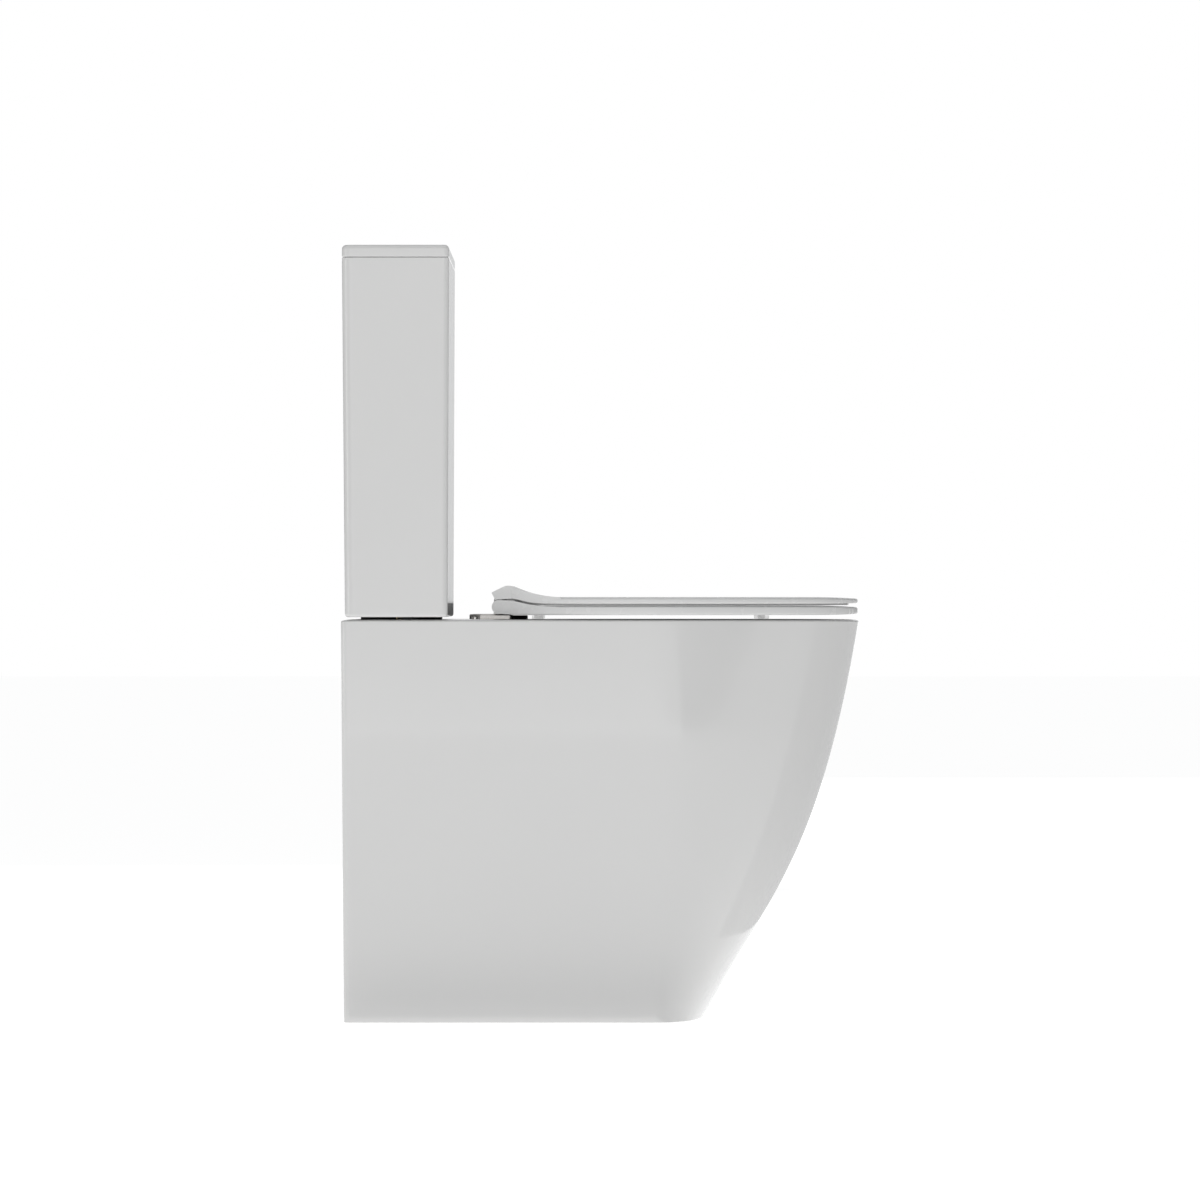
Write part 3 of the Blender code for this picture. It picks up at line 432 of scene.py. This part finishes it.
def clear_buffer():
    """Clear soft plastic, seen mostly as what lies behind it."""
    n = Nodes("clear_buffer", (0.72, 0.72, 0.70), 0.38, IOR=1.42, Alpha=0.2)
    n.tint(n.noise(90.0, 3.0), (0.69, 0.69, 0.67), (0.76, 0.76, 0.74))
    n.gloss(n.noise(180.0, 3.0), 0.30, 0.46)
    return n.bump(n.noise(700.0, 2.0), 0.00002, 0.5).mat


def natural_nylon():
    n = Nodes("natural_nylon", (0.74, 0.73, 0.69), 0.42, IOR=1.5)
    n.tint(n.noise(35.0, 4.0), (0.71, 0.70, 0.66), (0.77, 0.76, 0.72))
    n.gloss(n.noise(120.0, 4.0), 0.36, 0.52)
    return n.bump(n.noise(800.0, 3.0), 0.00003, 0.6).mat


def blue_moulding():
    n = Nodes("blue_moulding", (0.05, 0.17, 0.45), 0.38, IOR=1.5)
    n.tint(n.noise(40.0, 4.0), (0.045, 0.155, 0.42), (0.060, 0.190, 0.49))
    n.gloss(n.noise(150.0, 4.0), 0.32, 0.48)
    return n.bump(n.noise(900.0, 3.0), 0.00003, 0.6).mat


def make_materials():
    """One material for each material slot of the record."""
    return {"china": white_glaze(), "seat_resin": seat_resin(), "chrome": polished_chrome(),
            "steel": brushed_steel(), "brass": plain_brass(), "black_plastic": black_moulding(),
            "rubber": black_rubber(), "buffer": clear_buffer(), "nylon": natural_nylon(),
            "blue_plastic": blue_moulding()}


# ---------------------------------------------------------------- pan
def pan_section(t, inset=0.0, z=None):
    """The pan's plan at fraction t down its front profile, 0 at the rim and 1 at the floor."""
    y, height = bezier((FRONT, NOSE_TOP_Z), NOSE_UPPER, NOSE_LOWER, (FOOT_FRONT, 0.0), t)
    up = height / NOSE_TOP_Z
    half = PAN_HALF_FOOT + (PAN_HALF_TOP - PAN_HALF_FOOT) * min(1.0, up * 1.4)
    nose = PLAN_NOSE_FOOT + (PLAN_NOSE_TOP - PLAN_NOSE_FOOT) * up ** 0.8
    rear = REAR - REAR_DRAFT * (1 - up)
    outline = d_outline(half - inset, y + inset, nose - inset, rear - inset, max(0.007 - inset, 0.002))
    return at_height(outline, height if z is None else z)


def bowl_sections(grow, edge=0.0):
    """The bowl from the sump up to the rim. With an edge radius, its mouth flares over the rim."""
    levels = [
        (0.125, -0.0500, -0.022, 0.0130), (0.132, -0.0660, -0.006, 0.0290), (0.150, -0.0780, 0.008, 0.0380),
        (0.185, -0.0920, 0.018, 0.0460), (0.225, -0.1180, 0.026, 0.0590), (0.260, -0.1520, 0.034, 0.0780),
        (0.300, -0.1900, 0.042, 0.1030), (0.345, -0.2220, 0.050, 0.1260), (0.395, -0.2420, 0.056, 0.1380),
        (0.4255, -0.2495, 0.058, 0.1420)]
    rings = [(z - grow, front - grow, rear + grow, half + grow)
             for z, front, rear, half in flowing(levels, 5)]
    z, front, rear, half = rings[-1]
    if edge:
        for inset, depth in reversed(rounded(edge, 8)):
            rings.append((RIM_Z - depth + 0.0001, front - inset, rear + inset, half + inset))
        rings.append((RIM_Z + 0.004, front - edge - 0.001, rear + edge + 0.001, half + edge + 0.001))
    else:
        rings.append((RIM_Z - 0.004, front, rear, half))
    sections = []
    for z, front, rear, half in rings:
        middle, length = (front + rear) / 2, (rear - front) / 2
        sections.append([(half * cos(t), middle + length * sin(t), z)
                         for t in (tau * i / 96 for i in range(96))])
    return sections


def trap_path(steps=14):
    up = [bezier((-0.040, 0.158), (0.040, 0.142), (0.066, 0.262), (0.118, 0.262), i / steps)
          for i in range(steps + 1)]
    down = [bezier((0.118, 0.262), (0.165, 0.262), (0.160, OUTLET_Z), (0.215, OUTLET_Z), i / steps)
            for i in range(1, steps + 1)]
    radii = [TRAP_RADIUS] * (steps + 1)
    radii += [TRAP_RADIUS + (OUTLET_BORE - TRAP_RADIUS) * i / steps for i in range(1, steps + 1)]
    return up + down, radii


def duct_path(top, end):
    """The flush duct's path, down from a height and round towards the bowl."""
    bend = [(VALVE_Y - BEND_RADIUS_Y * (1 - cos(t)), DUCT_Z + BEND_RADIUS_Z * (1 - sin(t)))
            for t in (pi / 2 * i / 8 for i in range(9))]
    return [(VALVE_Y, top)] + bend + [(end, DUCT_Z)]


def make_pan(mats):
    steps = 44
    sections = [pan_section(1, 0.002 * (1 - sin(a)), 0.002 * (1 - cos(a))) for a in (0.0, 0.5, 1.0)]
    sections += [pan_section(1 - i / steps) for i in range(1, steps + 1)]
    # softly crowned upper edge
    crown, rise = 0.0140, RIM_Z - NOSE_TOP_Z
    for i in range(1, 11):
        a = pi / 2 * i / 10
        sections.append(pan_section(0, crown * (1 - cos(a)) ** 1.35, NOSE_TOP_Z + rise * sin(a)))
    pan = loft("pan_china", sections)
    inner = [pan_section(1, PAN_WALL, -0.01)]
    inner += [pan_section(1 - i / 16, PAN_WALL) for i in range(1, 16)]
    inner += [pan_section(0, PAN_WALL, CAVITY_TOP)]
    cavity = loft("cavity", inner)
    service = [(-SERVICE_HALF, -0.01), (SERVICE_HALF, -0.01)]
    service += arc(0, SERVICE_TOP - SERVICE_HALF, SERVICE_HALF, 0, pi, 48)
    join(cavity, loft("service", [[(x, y, z) for x, z in service] for y in (0.30, 0.25)]))
    # the bowl, the trapway, the flush duct and the boss round the inlet stay inside the shroud
    path, radii = trap_path()
    outlet_end = REAR - 0.004
    shell = sweep("shell", path + [(outlet_end, OUTLET_Z)], [r + BOWL_WALL for r in radii + [OUTLET_BORE]])
    cut(cavity, loft("bowl_shell", bowl_sections(BOWL_WALL)), shell)
    cut(cavity, sweep("duct_shell", duct_path(RIM_Z - 0.004, 0.045), [DUCT_BORE + DUCT_WALL] * 11),
        rod("boss", 0.058, 0.398, RIM_Z - 0.004, (0, VALVE_Y, 0)))
    cut(pan, cavity)
    cut(pan, loft("bowl_inside", bowl_sections(0.0, BOWL_EDGE)))
    cut(pan, sweep("bore", path + [(outlet_end + 0.03, OUTLET_Z)], radii + [OUTLET_BORE]))
    # the flush duct ends in a slot across the back of the bowl
    cut(pan, sweep("duct", duct_path(RIM_Z + 0.01, 0.080), [DUCT_BORE] * 11))
    slot = arc(0.018, 0.372, 0.008, -pi / 2, pi / 2, 10) + arc(-0.018, 0.372, 0.008, pi / 2, 3 * pi / 2, 10)
    cut(pan, loft("slot", [[(x, y, z) for x, z in slot] for y in (0.090, 0.030)]))
    # holes through the deck
    cut(pan, hole(RECESS_RADIUS, RECESS_FLOOR, 0.45))
    for side, s in SIDES:
        bolt_low, bolt_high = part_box("tank_bolt_" + side)
        cut(pan, hole(0.0060, 0.39, 0.45, (bolt_low[0] + bolt_high[0]) / 2))
        cut(pan, hole(0.0065, 0.39, 0.45, s * HINGE_X, HINGE_BOLT_Y))
    cut(pan, hole(0.0200, 0.39, 0.45, FILL_X))
    show(pan, "root", mats["china"], "china", "pan", "pan_rear_wall", "pan_bowl", "pan_inlet", "pan_trapway")


# ---------------------------------------------------------------- cistern
def tank_section(inset, z, taper=0.0):
    """Plan of the cistern at a height, drawn in by that share of the full taper."""
    y0 = LID_LOW[1] + taper * TAPER_FRONT + inset
    y1 = LID_HIGH[1] - taper * TAPER_REAR - inset
    outline = box_outline(LID_HIGH[0] - taper * TAPER_SIDE - inset, y0, y1,
                          max(0.006 - inset, 0.002), max(0.010 - inset, 0.002))
    return at_height(outline, z)


def make_tank(mats):
    base, top = TANK_LOW[2], TANK_HIGH[2]
    outer = [tank_section(inset, base + depth, 1.0) for inset, depth in rounded(0.0034)]
    outer += [tank_section(0.0, top - 0.0012)]
    outer += [tank_section(inset, top - depth) for inset, depth in reversed(rounded(0.0010, 3)[:-1])]
    tank = loft("cistern_china", outer)
    floor = base + TANK_FLOOR
    inside = [tank_section(TANK_WALL + inset, floor + depth, 1.0) for inset, depth in rounded(0.008)]
    inside += [tank_section(TANK_WALL, top + 0.01)]
    cut(tank, loft("inside", inside))
    # the flush valve, the fill valve and the two bolts go through the floor
    cut(tank, hole(0.0300, 0.43, 0.46), hole(0.0112, 0.43, 0.46, FILL_X),
        hole(0.0046, 0.43, 0.46, -BOLT_X), hole(0.0046, 0.43, 0.46, BOLT_X))
    show(tank, "root", mats["china"], "china", "cistern_tank")


def make_cistern_lid(mats):
    lip = TANK_WALL + 0.0025
    seam = LID_LOW[2] + 0.008
    outer = [tank_section(lip, LID_LOW[2]), tank_section(lip, seam)]
    outer += [tank_section(inset, seam + depth) for inset, depth in rounded(0.0012, 4)]
    outer += [tank_section(inset, TOP_Z - depth) for inset, depth in reversed(rounded(0.0045, 8))]
    lid = loft("cistern_lid_china", outer)
    under = [tank_section(lip + 0.005, LID_LOW[2] - 0.004), tank_section(lip + 0.005, TOP_Z - 0.0115),
             tank_section(lip + 0.008, TOP_Z - 0.0085)]
    cut(lid, loft("under", under), hole(0.0235, 0.82, 0.85, steps=64))
    show(lid, "cistern_lid", mats["china"], "china", "cistern_lid")


# ---------------------------------------------------------------- seat
def seat_outline(inset, rear=None, steps=110):
    """Plan of the seat, D shaped. Its sides draw in towards the hinges, and rear extends them."""
    nose = SEAT_STRAIGHT_Y - SHUT_LOW[1]
    right = [(SEAT_HALF - inset, SEAT_STRAIGHT_Y)]
    for i in range(1, 19):
        x, y = bezier((SEAT_HALF, SEAT_STRAIGHT_Y), (SEAT_HALF, 0.020), (0.1740, 0.060),
                      (SEAT_REAR_HALF, SEAT_REAR_Y), i / 18)
        right.append((x - inset, min(y, SEAT_REAR_Y - inset)))
    if rear:
        right.append((SEAT_REAR_HALF - 0.006, rear))
    left = [(-x, y) for x, y in reversed(right)]
    front = [((SEAT_HALF - inset) * cos(t), SEAT_STRAIGHT_Y + (nose - inset) * sin(t))
             for t in (pi + pi * i / steps for i in range(1, steps))]
    return right + left + front


def plate(name, z0, z1, lower, upper, crown=0.0):
    """A seat plate with round edges, and a crowned border above."""
    sections = [at_height(seat_outline(inset), z0 + depth) for inset, depth in rounded(lower)]
    sections += [at_height(seat_outline(inset), z1 - crown - depth)
                 for inset, depth in reversed(rounded(upper))]
    for i in range(1, 9):
        u = i / 8
        sections.append(at_height(seat_outline(upper + 0.045 * u), z1 - crown * (1 - u) ** 2))
    return loft(name, sections)


def thin_nose(obj, front, z0, z1, share=0.26, reach=0.050):
    """Draw a plate's faces together towards its front tip."""
    middle = (z0 + z1) / 2
    for vertex in obj.data.vertices:
        u = min(1.0, max(0.0, (front + reach - vertex.co.y) / reach))
        vertex.co.z = middle + (vertex.co.z - middle) * (1 - share * u * u)


def seat_side(name, profile, x0, x1):
    piece = side_prism(name, profile, x0, x1)
    return boolean(piece, prism(name + "_plan", seat_outline(0.0003, 0.135), 0.42, 0.48), "INTERSECT")


def make_seat_ring(mats):
    z0 = RING_LOW[2]
    ring = plate("seat_ring_resin", z0, RING_TOP, 0.0022, 0.0026, 0.0006)
    thin_nose(ring, RING_LOW[1], z0, RING_TOP)
    # the opening, round over at its upper and lower edges
    sections = [(inset, z0 + depth) for inset, depth in rounded(0.0030, 6)]
    sections += [(inset, RING_TOP - depth) for inset, depth in reversed(rounded(0.0042, 8))]
    sections = [(sections[0][0], z0 - 0.002)] + sections + [(sections[-1][0], RING_TOP + 0.003)]
    cut(ring, loft("opening", [[((0.113 + flare) * cos(t),
                                 -0.090 + ((0.127 if sin(t) < 0 else 0.122) + flare) * sin(t), z)
                                for t in (tau * i / 120 for i in range(120))] for flare, z in sections]))
    # round ends that turn on the pins, outside the lid's own eyes
    barrel = arc(HINGE_Y, HINGE_Z, BARREL_RADIUS, -pi / 2 - 0.2, pi / 2, 28)
    top = flowing([(0.1090, 0.4568), (0.0975, 0.4562), (0.0890, 0.4545), (0.0782, 0.4522), (0.0620, 0.4503),
                   (0.0500, 0.4500)], 5)
    profile = [(0.0500, z0 + 0.003), (0.070, z0 + 0.0008), (0.096, z0 + 0.0004)] + barrel + top
    for side, s in SIDES:
        join(ring, seat_side("barrel_" + side, profile, s * BARREL_X, s * 0.2))
    cut(ring, block("notch", (-BARREL_X, 0.0975, 0.43), (BARREL_X, 0.14, 0.47)))
    for side, s in SIDES:
        cut(ring, pin_hole(s * 0.08, s * 0.1483))
    bevel(ring, 0.0008, 3, 40)
    show(ring, "seat_ring", mats["seat_resin"], "seat_resin", "seat_ring")


def make_hood():
    """The lid's raised rear, whose underside lies close round the ring's barrels."""
    top = flowing([(0.0450, 0.4599), (0.0598, 0.4612), (0.0676, 0.4624), (0.0776, 0.4646), (0.0843, 0.4667),
                   (0.0902, 0.4689), (0.0970, 0.4716), (0.1002, 0.4724), (0.1035, 0.4724), (0.1075, 0.4711),
                   (0.1150, 0.4675), (0.1193, 0.4652), (0.1196, 0.4644)], 4)
    saddle = arc(HINGE_Y, HINGE_Z, BARREL_RADIUS + 0.0006, 1.10, 1.75, 12)
    under = [(0.1166, 0.4585)] + saddle
    under += flowing([(0.0970, 0.4586), (0.0890, 0.4570), (0.0782, 0.4544), (0.0620, 0.4532),
                      (0.0450, 0.4531)], 4)
    return seat_side("hood", list(reversed(top + under)), -0.2, 0.2)


def make_slit_rib():
    """A rib round the lid's underside, which closes the slit above the ring."""
    rib = prism("rib", seat_outline(0.0100), RING_TOP + 0.0005, PLATE_BASE + 0.0015)
    return cut(rib, prism("rib_inside", seat_outline(0.0140), 0.44, 0.47),
               block("rib_end", (-0.2, 0.04, 0.44), (0.2, 0.13, 0.48)))


def make_slit_root():
    """The same slit closed at the rear, where the ring rises to its barrels."""
    profile = [(0.0350, 0.4545), (0.0350, 0.4515), (0.0620, 0.4515), (0.0700, 0.4517), (0.0782, 0.4527),
               (0.0890, 0.4550), (0.0950, 0.4564), (0.1030, 0.4570), (0.1030, 0.4600), (0.0890, 0.4590),
               (0.0782, 0.4560)]
    plan = prism("root_plan", seat_outline(0.0107, 0.1030), 0.44, 0.47)
    return boolean(side_prism("root", profile, -0.2, 0.2), plan, "INTERSECT")


def make_seat_lid(mats):
    lid = plate("seat_lid_resin", PLATE_BASE, PLATE_TOP, 0.0018, 0.0024, 0.0009)
    thin_nose(lid, SHUT_LOW[1], PLATE_BASE, PLATE_TOP)
    cut(lid, block("trim", (-0.2, 0.0500, 0.44), (0.2, 0.13, 0.48)))
    join(lid, make_hood())
    for side, s in SIDES:
        eye = arc(HINGE_Y, HINGE_Z, EYE_RADIUS, -pi * 0.75, 0.0, 24)
        web = eye + [(HINGE_Y + 0.0060, 0.4600), (0.1000, 0.4620)]
        join(lid, side_prism("knuckle", web, s * 0.0300, s * 0.0655))
        cut(lid, pin_hole(s * 0.028, s * 0.08))
        cut(lid, block("tip_notch", (min(s * 0.053, s * 0.102), 0.1170, 0.44),
                       (max(s * 0.053, s * 0.102), 0.13, 0.48)))
    join(lid, make_slit_rib(), make_slit_root())
    # shallow panel in the underside
    nose = SEAT_STRAIGHT_Y - SHUT_LOW[1]
    edge, corner = 0.016, 0.030
    panel = []
    for inset, depth in [(edge, -0.002), (edge, 0.0), (0.0166, 0.0004), (0.018, 0.0010), (0.021, 0.0014)]:
        rear = corner - (inset - edge)
        outline = d_outline(SEAT_HALF - inset, SHUT_LOW[1] + inset, nose - inset, rear, rear)
        panel.append(at_height(outline, PLATE_BASE + depth))
    cut(lid, loft("panel", panel))
    bevel(lid, 0.0006, 3, 40)
    show(lid, "seat_lid", mats["seat_resin"], "seat_resin", "seat_lid")


# ---------------------------------------------------------------- hinges
def hinge_plan(y0, y1, half, rear_corner, x):
    return [(x + dx, y) for dx, y in box_outline(half, y0, y1, 0.002, rear_corner, 12)]


def make_hinge_cover(side, x, base, mats):
    """A chrome cover, open in front and below, with a slot for the bracket."""
    rings = [at_height(hinge_plan(COVER_FRONT, COVER_REAR, COVER_HALF, COVER_CORNER, x), base)]
    for inset, depth in reversed(rounded(0.0014, 5)):
        plan = hinge_plan(COVER_FRONT + inset * 0.3, COVER_REAR - inset, COVER_HALF - inset,
                          COVER_CORNER - inset, x)
        rings.append(at_height(plan, COVER_TOP - depth))
    cover = loft("hinge_cover_shell_" + side, rings)
    cut(cover, prism("pocket", hinge_plan(0.0900, 0.1427, 0.0168, 0.0134, x), 0.43, 0.4401))
    cut(cover, block("slot", (x - 0.0112, HINGE_Y - 0.0066, 0.43), (x + 0.0112, HINGE_Y + 0.0066, 0.45)))
    show(cover, "root", mats["chrome"], "chrome", "hinge_cover_" + side)


def make_hinge_pad(side, x, base, mats):
    """A black pad, thin under the cover and full height in front of it."""
    pad = prism("hinge_pad_moulding_" + side, hinge_plan(PAD_FRONT, 0.1420, 0.0164, 0.0131, x),
                base, base + 0.0015)
    rings = [at_height(hinge_plan(PAD_FRONT, 0.0990, COVER_HALF, 0.002, x), base)]
    for inset, depth in reversed(rounded(0.0008, 4)):
        plan = hinge_plan(PAD_FRONT + inset, 0.0990, COVER_HALF - inset, 0.002, x)
        rings.append(at_height(plan, PAD_TOP - depth))
    join(pad, loft("pad_front", rings))
    cut(pad, hole(0.0045, 0.43, 0.45, x, HINGE_BOLT_Y, 32))
    show(pad, "root", mats["black_plastic"], "black_plastic", "hinge_pad_" + side)


def make_hinges(mats):
    base = RIM_Z + 0.0003
    for side, s in SIDES:
        make_hinge_cover(side, s * HINGE_X, base, mats)
        make_hinge_pad(side, s * HINGE_X, base, mats)


# ---------------------------------------------------------------- push button
def make_bezel(mats):
    """The chrome ring in the lid, with its threaded sleeve and the floor that guides the stems."""
    at = (0, VALVE_Y, 0)
    low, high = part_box("button_bezel")
    sleeve, root, pitch = 0.0229, 0.0225, 0.0012
    crest = [(0.0204 + 0.0034 * (1 - cos(a)), high[2] - 0.0009 + 0.0009 * sin(a))
             for a in (pi / 2 * i / 6 for i in range(7))]
    fall = [(0.0238 + 0.0032 * sin(a), high[2] - 0.0025 * (1 - cos(a)))
            for a in (pi / 2 * i / 8 for i in range(1, 9))]
    thread = []
    z = 0.8395
    while z > low[2] + 0.002:
        thread += [(sleeve, z), (root, z - pitch / 2)]
        z -= pitch
    profile = [(0.0202, low[2] + 0.002)] + crest + fall + [(sleeve, 0.8403)] + thread
    profile += [(sleeve, low[2]), (0.0030, low[2]), (0.0030, low[2] + 0.002)]
    bezel = turned("bezel_ring", profile, at, 96)
    for stem_x in (-0.0118, 0.0090):
        cut(bezel, hole(0.0026, 0.80, 0.82, stem_x, steps=24))
    show(bezel, "cistern_lid", mats["chrome"], "chrome", "button_bezel")


# ---------------------------------------------------------------- nodes kept from the frame
def dress_nodes(mats):
    """The frame's own small parts keep their shape and get the materials of their slots."""
    slots = {row["node"]: row["material_slot"] for row in frame["record"]["subparts"]}
    for name, node in frame["nodes"].items():
        node.data.materials.clear()
        node.data.materials.append(mats[slots[name]])


# ---------------------------------------------------------------- floor, light, camera
def make_floor():
    bm = bmesh.new()
    bmesh.ops.create_grid(bm, x_segments=8, y_segments=8, size=40.0)
    floor = to_object("studio_floor", bm)
    floor.location.z = -0.0004
    n = Nodes("pale_floor", (0.35, 0.35, 0.35), 0.85, Emission_Color=(1, 1, 1, 1), Emission_Strength=0.90)
    n.tint(n.noise(1.5, 3.0), (0.345, 0.345, 0.345), (0.355, 0.355, 0.355))
    floor.data.materials.append(n.mat)


def card(name, corners, glow):
    """A studio card that only reflections and bounced light see."""
    bm = bmesh.new()
    bm.faces.new([bm.verts.new(corner) for corner in corners])
    piece = to_object(name, bm)
    piece.visible_camera = False
    piece.visible_shadow = False
    n = Nodes(name + "_cloth", (0.03, 0.03, 0.03), 0.9, Emission_Color=(1, 1, 1, 1), Emission_Strength=glow)
    n.tint(n.noise(40.0, 3.0), (0.025, 0.025, 0.025), (0.035, 0.035, 0.035))
    piece.data.materials.append(n.mat)


def floor_card(name, x0, x1, y0, y1, glow):
    card(name, [(x0, y0, 0.002), (x1, y0, 0.002), (x1, y1, 0.002), (x0, y1, 0.002)], glow)


def area_light(name, place, target, size, power):
    data = bpy.data.lights.new(name, "AREA")
    data.shape = "RECTANGLE"
    data.size, data.size_y = size
    data.energy = power
    light = bpy.data.objects.new(name, data)
    bpy.context.scene.collection.objects.link(light)
    light.location = place
    light.rotation_euler = (Vector(target) - Vector(place)).to_track_quat("-Z", "Y").to_euler()
    light.visible_camera = False


def make_world():
    """White to the camera, soft grey to everything the world lights."""
    world = bpy.data.worlds.new("studio")
    bpy.context.scene.world = world
    world.use_nodes = True
    tree = world.node_tree
    light_path = tree.nodes.new("ShaderNodeLightPath")
    mix = tree.nodes.new("ShaderNodeMixShader")
    seen = tree.nodes.new("ShaderNodeBackground")
    seen.inputs["Color"].default_value = (1, 1, 1, 1)
    seen.inputs["Strength"].default_value = 1.0
    glow = tree.nodes["Background"]
    glow.inputs["Color"].default_value = (0.97, 0.985, 1.0, 1)
    glow.inputs["Strength"].default_value = 0.20
    tree.links.new(light_path.outputs["Is Camera Ray"], mix.inputs["Fac"])
    tree.links.new(glow.outputs[0], mix.inputs[1])
    tree.links.new(seen.outputs[0], mix.inputs[2])
    tree.links.new(mix.outputs[0], tree.nodes["World Output"].inputs["Surface"])


def make_camera():
    data = bpy.data.cameras.new("camera")
    data.sensor_width = 36.0
    data.lens = 245.45
    data.clip_end = 200.0
    camera = bpy.data.objects.new("camera", data)
    bpy.context.scene.collection.objects.link(camera)
    camera.location = (-9.0, 0.0025, 0.457)
    camera.rotation_euler = (pi / 2, 0.0, -pi / 2)
    bpy.context.scene.camera = camera


def make_studio():
    """Floor, world and soft light, with cards that keep the outline from washing out."""
    make_floor()
    make_world()
    card("flag_behind", [(4.0, -0.40, 0.0), (4.0, 0.20, 0.0), (4.0, 0.20, 0.452), (4.0, -0.40, 0.452)], 0.0)
    floor_card("card_in_front", -0.05, 12.0, -6.0, -0.30, 0.62)
    floor_card("card_beside", -0.240, -0.184, -0.14, 0.29, 0.58)
    area_light("overhead", (-0.4, 0.0, 3.6), (0, 0, 0.3), (3.6, 3.6), 34)
    area_light("left_box", (-4.8, 0.5, 1.5), (0, 0, 0.6), (3.6, 3.0), 24)
    area_light("right_box", (4.8, 0.3, 1.65), (0, 0, 0.6), (3.6, 2.8), 16)
    area_light("rear_strip", (-1.5, 4.5, 0.9), (0, 0.2, 0.5), (0.8, 1.8), 12)
    make_camera()
    bpy.context.scene.view_settings.view_transform = "Standard"
    bpy.context.scene.view_settings.look = "None"


def main():
    mats = make_materials()
    dress_nodes(mats)
    make_pan(mats)
    make_tank(mats)
    make_cistern_lid(mats)
    make_seat_ring(mats)
    make_seat_lid(mats)
    make_hinges(mats)
    make_bezel(mats)
    make_studio()


main()
